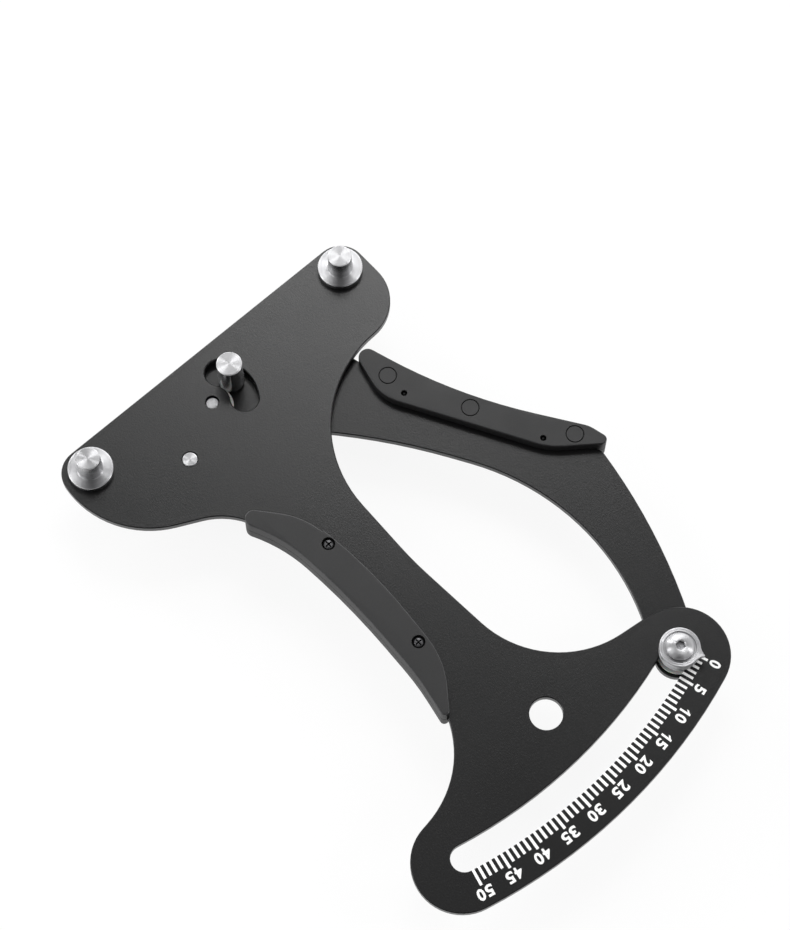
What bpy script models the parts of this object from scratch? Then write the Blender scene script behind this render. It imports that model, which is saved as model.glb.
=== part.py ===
# Spoke tension meter: a body plate with two fixed posts, a sprung lever with the moving post,
# hand grips on both, and a pointer on a printed arc scale.
# Everything is drawn about the pivot axis: +X runs along the fixed posts, +Y towards the head,
# and height zero is the front face of the body plate. The last lines stand the tool on its back.
# An outline is a belt of circles joined by their tangents, counter-clockwise: a circle is
# (x, y, radius), and a negative radius makes a hollow.

import math

import bmesh
import bpy
from mathutils import Vector

# Plates
PLATE_THICKNESS = 0.003
EDGE_CHAMFER = 0.0003
SEAT_GAP = 0.0003                  # left between pieces that touch
OVERRUN = 0.001                    # how far every cut runs past its face
CHORD_ERROR = 0.00003              # how far an outline's chords leave their arc
TURNED_CHORD_ERROR = 0.00004       # the same on turned pieces
WELD_DISTANCE = 0.000003           # points nearer than this become one
SMOOTH_ANGLE = math.radians(30.0)  # edges sharper than this stay crisp
FULL_TURN = 2 * math.pi
NEARLY_FULL_SHARE = 0.99           # an arc this long is a tangent point that wrapped round

# Head of the body plate
POST_SPACING = 0.116               # between the fixed posts
POST_LEFT_SHARE = 0.4164           # of the spacing, from the left post to the pivot
POST_LINE_RISE = 0.0084            # posts' line above the pivot
HEAD_CORNER_RADIUS = 0.0094
LEFT_CORNER_SHIFT_SHARES = (-0.12, 0.03)      # of the corner radius, from the post
RIGHT_CORNER_SHIFT_SHARES = (0.03, 0.03)
LEFT_LOBE_RADIUS = 0.0360
LEFT_LOBE_ANGLE = math.radians(-7.3)          # from the corner's middle to the lobe's
RIGHT_LOBE_RADIUS = 0.0174
RIGHT_LOBE_SHIFT_SHARES = (-0.455, -0.553)    # of the lobe radius, from the corner's middle

# Reach, neck and foot of the body plate
LEVER_REACH = 0.1854               # pivot axis to pointer axis, and the slot's middle line
SCALE_BAND_WIDTH = 0.01803         # slot's middle line to the foot's outer edge
LEFT_FOOT_RADIUS = 0.0172
RIGHT_FOOT_RADIUS = 0.01675
FOOT_SHOULDER_RADIUS = 0.0239
FOOT_SHOULDER_ANGLE = math.radians(59.1)
LEFT_FOOT_EXTRA_ANGLE = math.radians(0.4)
LEFT_SHOULDER_HOLLOW_SHARES = (-0.2305, -0.2914, -0.1393)    # of the reach: x, y, radius
LEFT_FOOT_HOLLOW_SHARES = (-0.2709, -0.6795, -0.2026)
RIGHT_FOOT_HOLLOW_SHARES = (0.2875, -0.6510, -0.2046)
NECK_HOLLOW_SHARES = (0.8249, -0.4755, -0.7533)
RIGHT_SHOULDER_HOLLOW_SHARES = (0.3296, -0.3538, -0.2572)
NECK_UPPER_SHARES = (-0.3468, -0.0647)        # of the reach: y, radius; under the left grip
NECK_LOWER_SHARES = (-0.6785, -0.0755)
HANG_HOLE_RADIUS = 0.00575
HANG_HOLE_SHARES = (0.0536, -0.8732)          # of the reach: x, y

# Motion
REST_ANGLE = math.radians(-71.65)  # pointer axis as seen from the pivot, lever at rest
TRAVEL_ANGLE = math.radians(32.1)  # the lever turns clockwise by this when squeezed
STOP_GAP = 0.0003                  # left between the barrel and the slot's end at each stop

# Posts
POST_TOP = 0.0118                  # tops of all three posts above the body plate
POST_FLANGE_RADIUS = 0.008
POST_FLANGE_THICKNESS = 0.0025
POST_BASE_RADIUS = 0.0045
POST_TOP_RADIUS = 0.0042
POST_RING_RADIUS = 0.0049
POST_RING_HEIGHT = 0.0004
POST_CHAMFER = 0.0004
MOVING_POST_RADIUS = 0.00455
MOVING_POST_FOOT_RADIUS = 0.0038   # below the body plate, clear of the pivot washer
MOVING_POST_SWING = 0.0116         # pivot axis to moving post
MOVING_POST_ANGLE = math.radians(14.5)
KIDNEY_PLAY = 0.00055              # round the moving post
KIDNEY_SPARE_ABOVE = math.radians(23.5)
KIDNEY_SPARE_BELOW = math.radians(16.5)
POST_SCREW_RADIUS = 0.002
POST_SCREW_HEAD_RADIUS = 0.0039
POST_SCREW_LENGTH = 0.010
POST_SCREW_SOCKET = 0.0025         # across flats
POST_SCREW_SOCKET_DEPTH = 0.0013
SCREW_TIP_CHAMFER = 0.0005
BORE_SPARE = 0.0008                # past the tip of a screw in a blind bore

# Pivot and spring
HUB_RADIUS = 0.018
WASHER_THICKNESS = 0.0007
PIVOT_WASHER_RADIUS = 0.00745
SHOULDER_RADIUS = 0.004
PIVOT_END_RADIUS = 0.00225
PIVOT_RECESS = 0.001
PIVOT_END_CHAMFER = 0.0004
BUSH_WALL = 0.0017
BOLT_HEAD_RADIUS = 0.0075
BOLT_HEAD_HEIGHT = 0.0026
BOLT_HEAD_CHAMFER = 0.0006
BOLT_SOCKET = 0.004
BOLT_SOCKET_DEPTH = 0.0015
WIRE_RADIUS = 0.001
SPRING_BORE_RADIUS = 0.008
SPRING_TURN_GAP = 0.0005
SPRING_WHOLE_TURNS = 3
CURL_POINTS = 10                   # centre-line points in one turn
SPRING_LEG_EXTRA = 0.004           # each leg past its pin
SPOOL_PLAY = 0.0011                # between the spool and the coil
SPOOL_FLANGE_THICKNESS = 0.001
SPOOL_FLANGE_EXTRA = 0.001         # flange past the coil
LEVER_PIN_RADIUS = 0.0025
LEVER_PIN_STUB_RADIUS = 0.0018
LEVER_PIN_ARM = 0.015              # from the coil's mean radius
LEVER_PIN_ANGLE = math.radians(-50.0)
LEVER_PIN_EXTRA = 0.0012           # past the spring leg
ANCHOR_PIN_RADIUS = 0.002675
ANCHOR_SHOULDER_RADIUS = 0.0034
ANCHOR_NECK_RADIUS = 0.0024
ANCHOR_PIN_CLEARANCE = 0.00145     # from the lever's hub
ANCHOR_PIN_ANGLE = math.radians(-150.3)
ANCHOR_HEAD_LENGTH = 0.0012
PIN_CHAMFER = 0.0003

# Lever outline, of the reach
LEVER_HUB_HOLLOW_SHARES = (0.0097, -0.1780, -0.0809)
LEVER_UPPER_HOLLOW_SHARES = (-0.8081, -1.0269, -1.2606)
LEVER_LOWER_HOLLOW_SHARES = (-0.1175, -0.6570, -0.4772)
LEVER_BACK_RADIUS_SHARE = 1.1699
LEVER_BACK_START_ANGLE = math.radians(-29.46)
LEVER_BACK_STOP_ANGLE = math.radians(-8.43)
LEVER_CORNER_SHARE = 0.0135
LEVER_TOP_SHARES = (0.2395, -0.0841, 0.0216)
LEVER_END_RADIUS = 0.0079

# Grips: two halves each, clasping the plate's edge
GRIP_HEIGHT = 0.011
GRIP_ROUNDING = 0.0004
POCKET_DEPTH_GAP = 0.0003          # between a grip half and the plate's face
LEFT_WEB = 0.0034                  # grip's outer edge to the plate's edge inside it
RIGHT_WEB = 0.0052
GRIP_HEAD_GAP = 0.0019             # right grip's tip below the head's lower edge
LEFT_GRIP_SHARES = (
    (-0.0994, -0.2376, 0.0167),
    (-0.3923, -0.3923, -0.3178),
    (-1.6140, -0.5079, -1.5423),
    (-0.6021, -0.6080, -0.5263),
    (-0.0847, -0.7505, 0.0086),
    (-0.1965, -0.6098, 0.1830),
    (-1.0247, -0.4907, 1.0177),
    (-0.1849, -0.3673, 0.1655),
)
RIGHT_GRIP_TIP_SHARES = (0.2832, 0.0178)      # x, radius
RIGHT_GRIP_SHARES = (
    (0.3387, -0.1909, 0.0858),
    (0.5334, -0.3916, 0.1553),
    (0.4995, -0.5480, 0.0108),
    (0.4509, -0.5361, 0.0550),
    (1.3177, 0.1672, -1.0572),
)
LEFT_SCREW_SHARES = ((-0.0291, -0.3684), (-0.0324, -0.6214))
RIGHT_SCREW_SHARES = ((0.2848, -0.2292), (0.4191, -0.4736))
GRIP_SCREW_RADIUS = 0.00125
GRIP_SCREW_HEAD_RADIUS = 0.00195
GRIP_SCREW_HEAD_HEIGHT = 0.0014
GRIP_COUNTERBORE_RADIUS = 0.0024
GRIP_COUNTERBORE_DEPTH = 0.0022
GRIP_SCREW_POINT_RADIUS = 0.0008
PILOT_RADIUS = 0.00115
PILOT_DEPTH = 0.0015
SCREW_POINT_RECESS = 0.0007        # tip below the front face of the right grip
BLIND_WALL = 0.001                 # left under a blind screw hole
CROSS_WIDTH = 0.0006
CROSS_DEPTH = 0.0008
CROSS_SPAN_SHARE = 0.7             # of the head's width

# Pointer and what clamps it
BARREL_RADIUS = 0.00445
SLOT_PLAY = 0.00028                # round the barrel
COLLAR_RADIUS = 0.0069
COLLAR_HEIGHT = 0.003
COLLAR_GROOVE = 0.00025
COLLAR_BAND_SHARES = (0.42, 0.58)  # of the collar's height: the groove between
POINTER_RADIUS = 0.00705
POINTER_THICKNESS = 0.0015
POINTER_CHAMFER = 0.0002
POINTER_TIP_DISTANCE = 0.0086
POINTER_TIP_RADIUS = 0.0003
POINTER_FLARE_RADIUS = 0.006
POINTER_TURN = math.radians(9.75)  # tip's direction off the line from the pivot
POINTER_RECESS_RADIUS = 0.0056
POINTER_RECESS_DEPTH = 0.0005
POINTER_SCREW_RADIUS = 0.0025
POINTER_SCREW_HEAD_RADIUS = 0.0051
POINTER_SCREW_HEAD_HEIGHT = 0.0025
POINTER_SCREW_TOP_RADIUS = 0.0021
POINTER_SCREW_RIM = 0.0004
POINTER_SCREW_SOCKET = 0.003
POINTER_SCREW_SOCKET_DEPTH = 0.0014
POINTER_SCREW_EXTRA = 0.001        # past the nut
DOME_STEPS = 5
NUT_ACROSS_FLATS = 0.008
NUT_THICKNESS = 0.004
NUT_CHAMFER = 0.0005
NUT_WASHER_RADIUS = 0.005
NUT_WASHER_THICKNESS = 0.001

# Heights that follow from the stack
BODY_BACK = -PLATE_THICKNESS
LEVER_FRONT = BODY_BACK - 2 * SEAT_GAP - WASHER_THICKNESS
LEVER_BACK = LEVER_FRONT - PLATE_THICKNESS
LEFT_MID = BODY_BACK / 2
RIGHT_MID = (LEVER_FRONT + LEVER_BACK) / 2

# Places that follow from the sizes
POST_LEFT = Vector((-POST_LEFT_SHARE * POST_SPACING, POST_LINE_RISE))
POST_RIGHT = Vector(((1 - POST_LEFT_SHARE) * POST_SPACING, POST_LINE_RISE))
COIL_RADIUS = SPRING_BORE_RADIUS + WIRE_RADIUS
FOOT_EDGE_RADIUS = LEVER_REACH + SCALE_BAND_WIDTH


def polar(radius, angle):
    return Vector((radius * math.cos(angle), radius * math.sin(angle)))


POINTER_PLACE = polar(LEVER_REACH, REST_ANGLE)
MOVING_POST_PLACE = polar(MOVING_POST_SWING, MOVING_POST_ANGLE)
LEVER_PIN_PLACE = polar(COIL_RADIUS + LEVER_PIN_ARM, LEVER_PIN_ANGLE)
ANCHOR_PLACE = polar(HUB_RADIUS + ANCHOR_PIN_CLEARANCE + ANCHOR_SHOULDER_RADIUS, ANCHOR_PIN_ANGLE)


def of_reach(shares):
    return tuple(share * LEVER_REACH for share in shares)


LEFT_SCREW_PLACES = [of_reach(shares) for shares in LEFT_SCREW_SHARES]
RIGHT_SCREW_PLACES = [of_reach(shares) for shares in RIGHT_SCREW_SHARES]


# Outlines

def limit_hollows(circles):
    # A hollow is no larger than its neighbours leave room for.
    def spacing(a, b):
        return math.hypot(a[0] - b[0], a[1] - b[1])

    limited = []
    for index, circle in enumerate(circles):
        x, y, radius = circle
        if radius < 0:
            for other in (circles[index - 1], circles[(index + 1) % len(circles)]):
                room = spacing(circle, other) - other[2]
                if other[2] > 0:
                    radius = -min(-radius, room)
        limited.append((x, y, radius))
    final = []
    for index, circle in enumerate(limited):
        x, y, radius = circle
        if radius < 0:
            for other in (limited[index - 1], limited[(index + 1) % len(limited)]):
                room = spacing(circle, other) - other[2]
                if other[2] < 0:
                    radius = -min(-radius, room)
        final.append((x, y, radius))
    return final


def arc_steps(radius, turn, error):
    step = 2 * math.acos(1 - error / radius)
    return max(1, math.ceil(abs(turn) / step))


def belt_stations(circles):
    # Each station is a point of an arc: the arc's middle, its radius and the angle there.
    circles = limit_hollows(circles)
    normals = []
    for (xa, ya, ra), (xb, yb, rb) in zip(circles, circles[1:] + circles[:1]):
        across = Vector((xb - xa, yb - ya))
        lean = max(-1.0, min(1.0, (rb - ra) / across.length))
        along = across.normalized()
        left = Vector((-along.y, along.x))
        normals.append(along * lean + left * math.sqrt(1 - lean * lean))
    stations = []
    last = None
    for index, (x, y, radius) in enumerate(circles):
        before = normals[index - 1]
        after = normals[index]
        start = math.atan2(-before.y, -before.x)
        stop = math.atan2(-after.y, -after.x)
        turn = (stop - start) % FULL_TURN if radius > 0 else -((start - stop) % FULL_TURN)
        if abs(turn) > NEARLY_FULL_SHARE * FULL_TURN:
            turn = 0.0
        steps = arc_steps(abs(radius), turn, CHORD_ERROR)
        for step in range(steps + 1):
            angle = start + turn * step / steps
            point = Vector((x + radius * math.cos(angle), y + radius * math.sin(angle)))
            if last is None or (point - last).length > CHORD_ERROR:
                stations.append((x, y, radius, angle))
                last = point
    x, y, radius, angle = stations[0]
    first = Vector((x + radius * math.cos(angle), y + radius * math.sin(angle)))
    if (first - last).length < CHORD_ERROR:
        stations.pop()
    return stations


def belt_points(stations, grow=0.0):
    return [
        (x + (radius + grow) * math.cos(angle), y + (radius + grow) * math.sin(angle))
        for x, y, radius, angle in stations
    ]


def slot_circles(centre_radius, half_width, start, stop):
    # A slot along an arc about the pivot: two round ends and the two walls.
    first = polar(centre_radius, start)
    last = polar(centre_radius, stop)
    return [
        (first.x, first.y, half_width),
        (0.0, 0.0, centre_radius + half_width),
        (last.x, last.y, half_width),
        (0.0, 0.0, half_width - centre_radius),
    ]


def hollow_between(first, second, radius, side):
    # Middle of a hollow that touches two circles from outside.
    a = Vector(first[:2])
    b = Vector(second[:2])
    reach_a = first[2] + radius
    reach_b = second[2] + radius
    across = b - a
    along = (reach_a ** 2 - reach_b ** 2 + across.length ** 2) / (2 * across.length)
    height = math.sqrt(max(0.0, reach_a ** 2 - along ** 2))
    unit = across.normalized()
    place = a + unit * along + Vector((-unit.y, unit.x)) * height * side
    return (place.x, place.y, -radius)


def body_circles():
    left = POST_LEFT + Vector(LEFT_CORNER_SHIFT_SHARES) * HEAD_CORNER_RADIUS
    right = POST_RIGHT + Vector(RIGHT_CORNER_SHIFT_SHARES) * HEAD_CORNER_RADIUS
    left_lobe = left + polar(LEFT_LOBE_RADIUS - HEAD_CORNER_RADIUS, LEFT_LOBE_ANGLE)
    right_lobe = right_lobe_place()
    neck_edge = left_grip_edge() + LEFT_WEB
    upper_y, upper_radius = of_reach(NECK_UPPER_SHARES)
    lower_y, lower_radius = of_reach(NECK_LOWER_SHARES)
    stop_angle = REST_ANGLE - TRAVEL_ANGLE - LEFT_FOOT_EXTRA_ANGLE
    left_foot = polar(FOOT_EDGE_RADIUS - LEFT_FOOT_RADIUS, stop_angle)
    right_foot = polar(FOOT_EDGE_RADIUS - RIGHT_FOOT_RADIUS, REST_ANGLE)
    shoulder = right_foot - polar(FOOT_SHOULDER_RADIUS - RIGHT_FOOT_RADIUS, FOOT_SHOULDER_ANGLE)
    return [
        (left.x, left.y, HEAD_CORNER_RADIUS),
        (left_lobe.x, left_lobe.y, LEFT_LOBE_RADIUS),
        of_reach(LEFT_SHOULDER_HOLLOW_SHARES),
        (neck_edge + upper_radius, upper_y, upper_radius),
        (neck_edge + lower_radius, lower_y, lower_radius),
        of_reach(LEFT_FOOT_HOLLOW_SHARES),
        (left_foot.x, left_foot.y, LEFT_FOOT_RADIUS),
        (0.0, 0.0, FOOT_EDGE_RADIUS),
        (right_foot.x, right_foot.y, RIGHT_FOOT_RADIUS),
        (shoulder.x, shoulder.y, FOOT_SHOULDER_RADIUS),
        of_reach(RIGHT_FOOT_HOLLOW_SHARES),
        of_reach(NECK_HOLLOW_SHARES),
        of_reach(RIGHT_SHOULDER_HOLLOW_SHARES),
        (right_lobe.x, right_lobe.y, RIGHT_LOBE_RADIUS),
        (right.x, right.y, HEAD_CORNER_RADIUS),
    ]


def right_lobe_place():
    corner = POST_RIGHT + Vector(RIGHT_CORNER_SHIFT_SHARES) * HEAD_CORNER_RADIUS
    return corner + Vector(RIGHT_LOBE_SHIFT_SHARES) * RIGHT_LOBE_RADIUS


def left_grip_circles():
    return [of_reach(shares) for shares in LEFT_GRIP_SHARES]


def left_grip_edge():
    # Outer edge of the left grip at its middle, where its shallowest hollow touches.
    x, y, radius = left_grip_circles()[2]
    return x - radius


def right_grip_circles():
    tip_x, tip_radius = of_reach(RIGHT_GRIP_TIP_SHARES)
    head_edge = right_lobe_place().y - RIGHT_LOBE_RADIUS
    tip = (tip_x, head_edge - GRIP_HEAD_GAP - tip_radius, tip_radius)
    return [tip] + [of_reach(shares) for shares in RIGHT_GRIP_SHARES]


def lever_circles():
    back_radius = LEVER_BACK_RADIUS_SHARE * LEVER_REACH
    corner_radius = LEVER_CORNER_SHARE * LEVER_REACH
    back = POINTER_PLACE - polar(back_radius - LEVER_END_RADIUS, LEVER_BACK_START_ANGLE)
    corner = back + polar(back_radius - corner_radius, LEVER_BACK_STOP_ANGLE)
    grip_x, grip_y, grip_radius = right_grip_circles()[-1]
    return [
        (0.0, 0.0, HUB_RADIUS),
        of_reach(LEVER_HUB_HOLLOW_SHARES),
        of_reach(LEVER_UPPER_HOLLOW_SHARES),
        of_reach(LEVER_LOWER_HOLLOW_SHARES),
        (POINTER_PLACE.x, POINTER_PLACE.y, LEVER_END_RADIUS),
        (back.x, back.y, back_radius),
        (corner.x, corner.y, corner_radius),
        (grip_x, grip_y, grip_radius - RIGHT_WEB),
        of_reach(LEVER_TOP_SHARES),
    ]


# Mesh makers

def finish_mesh(bm, name):
    bmesh.ops.remove_doubles(bm, verts=bm.verts[:], dist=WELD_DISTANCE)
    bmesh.ops.recalc_face_normals(bm, faces=bm.faces[:])
    mesh = bpy.data.meshes.new(name)
    bm.to_mesh(mesh)
    bm.free()
    mesh.shade_smooth()
    mesh.set_sharp_from_angle(angle=SMOOTH_ANGLE)
    return mesh


def add_loft(bm, rings):
    # Rings are (height, points) from low to high, all with as many points.
    loops = [[bm.verts.new((x, y, z)) for x, y in points] for z, points in rings]
    count = len(loops[0])
    for low, high in zip(loops, loops[1:]):
        for i in range(count):
            j = (i + 1) % count
            bm.faces.new((low[i], low[j], high[j], high[i]))
    bm.faces.new(loops[0][::-1])
    bm.faces.new(loops[-1])


def add_plate(bm, circles, low, high):
    stations = belt_stations(circles)
    inside = belt_points(stations, -EDGE_CHAMFER)
    outside = belt_points(stations)
    add_loft(bm, [
        (low, inside),
        (low + EDGE_CHAMFER, outside),
        (high - EDGE_CHAMFER, outside),
        (high, inside),
    ])


def add_window(bm, circles, low, high):
    # A cutter through a plate that leaves both rims chamfered.
    stations = belt_stations(circles)
    flared = belt_points(stations, EDGE_CHAMFER + OVERRUN)
    straight = belt_points(stations)
    add_loft(bm, [
        (low - OVERRUN, flared),
        (low + EDGE_CHAMFER, straight),
        (high - EDGE_CHAMFER, straight),
        (high + OVERRUN, flared),
    ])


def add_prism(bm, circles, low, high, grow=0.0):
    points = belt_points(belt_stations(circles), grow)
    add_loft(bm, [(low, points), (high, points)])


def add_turned(bm, profile, place=(0.0, 0.0), closed=False):
    # Turns a profile of (radius, height) points about a vertical axis.
    widest = max(radius for radius, height in profile)
    steps = arc_steps(widest, FULL_TURN, TURNED_CHORD_ERROR)
    steps += -steps % 4
    x, y = place
    verts = [bm.verts.new((x + radius, y, height)) for radius, height in profile]
    edges = [bm.edges.new(pair) for pair in zip(verts, verts[1:])]
    if closed:
        edges.append(bm.edges.new((verts[-1], verts[0])))
    bmesh.ops.spin(
        bm, geom=verts + edges, cent=(x, y, 0.0), axis=(0.0, 0.0, 1.0),
        dvec=(0.0, 0.0, 0.0), angle=FULL_TURN, steps=steps, use_duplicate=False,
    )
    bmesh.ops.remove_doubles(bm, verts=bm.verts[:], dist=WELD_DISTANCE)


def add_drill(bm, place, radius, low, high):
    add_turned(bm, [(0.0, low), (radius, low), (radius, high), (0.0, high)], place)


def add_hexagon(bm, place, across_flats, low, high):
    corner = across_flats / math.sqrt(3)
    points = []
    for index in range(6):
        point = Vector(place) + polar(corner, index * math.pi / 3)
        points.append((point.x, point.y))
    add_loft(bm, [(low, points), (high, points)])


def ring_profile(bore, radius, low, high, chamfer=0.0):
    if not chamfer:
        return [(bore, low), (radius, low), (radius, high), (bore, high)]
    return [
        (bore, low), (radius - chamfer, low), (radius, low + chamfer),
        (radius, high - chamfer), (radius - chamfer, high), (bore, high),
    ]


# Materials, with the colours read off the photograph in linear light

def make_material(name, colour, roughness, metallic):
    material = bpy.data.materials.new(name)
    material.use_nodes = True
    shader = material.node_tree.nodes["Principled BSDF"]
    shader.inputs["Base Color"].default_value = (*colour, 1.0)
    shader.inputs["Roughness"].default_value = roughness
    shader.inputs["Metallic"].default_value = metallic
    return material


def black_anodised():
    return make_material("black_anodised", (0.055, 0.055, 0.056), 0.42, 0.6)


def black_moulding():
    return make_material("black_moulding", (0.045, 0.045, 0.046), 0.6, 0.0)


def bright_steel():
    return make_material("bright_steel", (0.72, 0.72, 0.73), 0.25, 1.0)


def zinc_steel():
    return make_material("zinc_steel", (0.55, 0.56, 0.58), 0.35, 1.0)


def spring_steel():
    return make_material("spring_steel", (0.30, 0.31, 0.33), 0.35, 1.0)


def bronze():
    return make_material("bronze", (0.55, 0.36, 0.16), 0.35, 1.0)


def pale_nylon():
    return make_material("pale_nylon", (0.62, 0.60, 0.54), 0.5, 0.0)


def black_oxide():
    return make_material("black_oxide", (0.06, 0.06, 0.065), 0.4, 0.8)


# Placing

def place_piece(name, bm, material, parent):
    piece = bpy.data.objects.new(name, finish_mesh(bm, name))
    bpy.context.scene.collection.objects.link(piece)
    piece.data.materials.append(material)
    piece.parent = parent
    return piece


def cut_piece(piece, bm, name):
    cutter = bpy.data.objects.new(name, finish_mesh(bm, name))
    bpy.context.scene.collection.objects.link(cutter)
    cutter.parent = piece.parent
    cutter.hide_render = True
    cutter.display_type = "WIRE"
    cut = piece.modifiers.new(name, "BOOLEAN")
    cut.operation = "DIFFERENCE"
    cut.solver = "EXACT"
    cut.object = cutter


def add_countersunk_hole(bm, place, front, back):
    # Room for a post screw whose head lies flush in the back face.
    bore = POST_SCREW_RADIUS + SEAT_GAP
    rim = POST_SCREW_HEAD_RADIUS + SEAT_GAP
    cone = rim - bore
    add_turned(bm, [
        (0.0, back - OVERRUN), (rim + OVERRUN, back - OVERRUN), (rim, back),
        (bore, back + cone), (bore, front + OVERRUN), (0.0, front + OVERRUN),
    ], place)


def make_body_plate(frame):
    bm = bmesh.new()
    add_plate(bm, body_circles(), BODY_BACK, 0.0)
    piece = place_piece("body_plate", bm, black_anodised(), frame)
    holes = bmesh.new()
    kidney = slot_circles(
        MOVING_POST_SWING, MOVING_POST_RADIUS + KIDNEY_PLAY,
        MOVING_POST_ANGLE - TRAVEL_ANGLE - KIDNEY_SPARE_BELOW,
        MOVING_POST_ANGLE + KIDNEY_SPARE_ABOVE,
    )
    add_window(holes, kidney, BODY_BACK, 0.0)
    slack = max(0.0, STOP_GAP - SLOT_PLAY) / LEVER_REACH
    arc = slot_circles(
        LEVER_REACH, BARREL_RADIUS + SLOT_PLAY,
        REST_ANGLE - TRAVEL_ANGLE - slack, REST_ANGLE + slack,
    )
    add_window(holes, arc, BODY_BACK, 0.0)
    rim = HANG_HOLE_RADIUS + EDGE_CHAMFER + OVERRUN
    add_turned(holes, [
        (0.0, BODY_BACK - OVERRUN), (rim, BODY_BACK - OVERRUN),
        (HANG_HOLE_RADIUS, BODY_BACK + EDGE_CHAMFER), (HANG_HOLE_RADIUS, -EDGE_CHAMFER),
        (rim, OVERRUN), (0.0, OVERRUN),
    ], of_reach(HANG_HOLE_SHARES))
    low = BODY_BACK - OVERRUN
    add_drill(holes, (0.0, 0.0), PIVOT_END_RADIUS + SEAT_GAP, low, OVERRUN)
    add_drill(holes, ANCHOR_PLACE, ANCHOR_PIN_RADIUS + SEAT_GAP, low, OVERRUN)
    for place in LEFT_SCREW_PLACES:
        add_drill(holes, place, GRIP_SCREW_RADIUS + SEAT_GAP, low, OVERRUN)
    for place in (POST_LEFT, POST_RIGHT):
        add_countersunk_hole(holes, place, 0.0, BODY_BACK)
    cut_piece(piece, holes, "body_plate_cuts")


def make_lever_plate(lever):
    bm = bmesh.new()
    add_plate(bm, lever_circles(), LEVER_BACK, LEVER_FRONT)
    piece = place_piece("lever_plate", bm, black_anodised(), lever)
    holes = bmesh.new()
    low = LEVER_BACK - OVERRUN
    high = LEVER_FRONT + OVERRUN
    add_drill(holes, (0.0, 0.0), SHOULDER_RADIUS + BUSH_WALL + 2 * SEAT_GAP, low, high)
    add_drill(holes, LEVER_PIN_PLACE, LEVER_PIN_STUB_RADIUS + SEAT_GAP, low, high)
    add_drill(holes, POINTER_PLACE, POINTER_SCREW_RADIUS + SEAT_GAP, low, high)
    for place in RIGHT_SCREW_PLACES:
        add_drill(holes, place, GRIP_SCREW_RADIUS + SEAT_GAP, low, high)
    add_countersunk_hole(holes, MOVING_POST_PLACE, LEVER_FRONT, LEVER_BACK)
    cut_piece(piece, holes, "lever_plate_cuts")


def screw_depth(seat):
    # How far a post screw reaches above the plate's back face.
    return seat + POST_SCREW_LENGTH


def make_fixed_post(name, place, frame):
    base = SEAT_GAP
    bore = POST_SCREW_RADIUS + SEAT_GAP
    bore_top = screw_depth(BODY_BACK) + BORE_SPARE
    flange_top = base + POST_FLANGE_THICKNESS
    bm = bmesh.new()
    add_turned(bm, [
        (0.0, POST_TOP), (POST_TOP_RADIUS - POST_CHAMFER, POST_TOP),
        (POST_TOP_RADIUS, POST_TOP - POST_CHAMFER),
        (POST_BASE_RADIUS, flange_top + POST_RING_HEIGHT),
        (POST_RING_RADIUS, flange_top),
        (POST_FLANGE_RADIUS - POST_CHAMFER, flange_top),
        (POST_FLANGE_RADIUS, flange_top - POST_CHAMFER),
        (POST_FLANGE_RADIUS, base), (bore, base), (bore, bore_top), (0.0, bore_top),
    ], place)
    place_piece(name, bm, bright_steel(), frame)


def make_moving_post(lever):
    base = LEVER_FRONT + SEAT_GAP
    bore = POST_SCREW_RADIUS + SEAT_GAP
    bore_top = screw_depth(LEVER_BACK) + BORE_SPARE
    bm = bmesh.new()
    add_turned(bm, [
        (0.0, POST_TOP), (MOVING_POST_RADIUS - POST_CHAMFER, POST_TOP),
        (MOVING_POST_RADIUS, POST_TOP - POST_CHAMFER),
        (MOVING_POST_RADIUS, BODY_BACK), (MOVING_POST_FOOT_RADIUS, BODY_BACK),
        (MOVING_POST_FOOT_RADIUS, base), (bore, base), (bore, bore_top), (0.0, bore_top),
    ], MOVING_POST_PLACE)
    place_piece("moving_post", bm, bright_steel(), lever)


def make_post_screw(name, place, back, parent):
    tip = screw_depth(back)
    cone = POST_SCREW_HEAD_RADIUS - POST_SCREW_RADIUS
    bm = bmesh.new()
    add_turned(bm, [
        (0.0, tip), (POST_SCREW_RADIUS - SCREW_TIP_CHAMFER, tip),
        (POST_SCREW_RADIUS, tip - SCREW_TIP_CHAMFER), (POST_SCREW_RADIUS, back + cone),
        (POST_SCREW_HEAD_RADIUS, back), (0.0, back),
    ], place)
    piece = place_piece(name, bm, zinc_steel(), parent)
    socket = bmesh.new()
    add_hexagon(socket, place, POST_SCREW_SOCKET, back - OVERRUN, back + POST_SCREW_SOCKET_DEPTH)
    cut_piece(piece, socket, name + "_socket")


# Pivot, spool and spring

def spring_angles():
    # Where the two legs leave the coil, so that each leg touches its pin with the seat gap.
    lever_reach = LEVER_PIN_PLACE.length
    lever_offset = COIL_RADIUS + LEVER_PIN_RADIUS + WIRE_RADIUS + SEAT_GAP
    anchor_reach = ANCHOR_PLACE.length
    anchor_offset = COIL_RADIUS + ANCHOR_NECK_RADIUS + WIRE_RADIUS + SEAT_GAP
    start = LEVER_PIN_ANGLE + math.acos(lever_offset / lever_reach)
    stop = ANCHOR_PIN_ANGLE - math.acos(anchor_offset / anchor_reach)
    turn = (stop - start) % FULL_TURN + SPRING_WHOLE_TURNS * FULL_TURN
    lever_leg = math.sqrt(lever_reach ** 2 - lever_offset ** 2) + SPRING_LEG_EXTRA
    anchor_leg = math.sqrt(anchor_reach ** 2 - anchor_offset ** 2) + SPRING_LEG_EXTRA
    return start, turn, lever_leg, anchor_leg


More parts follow.
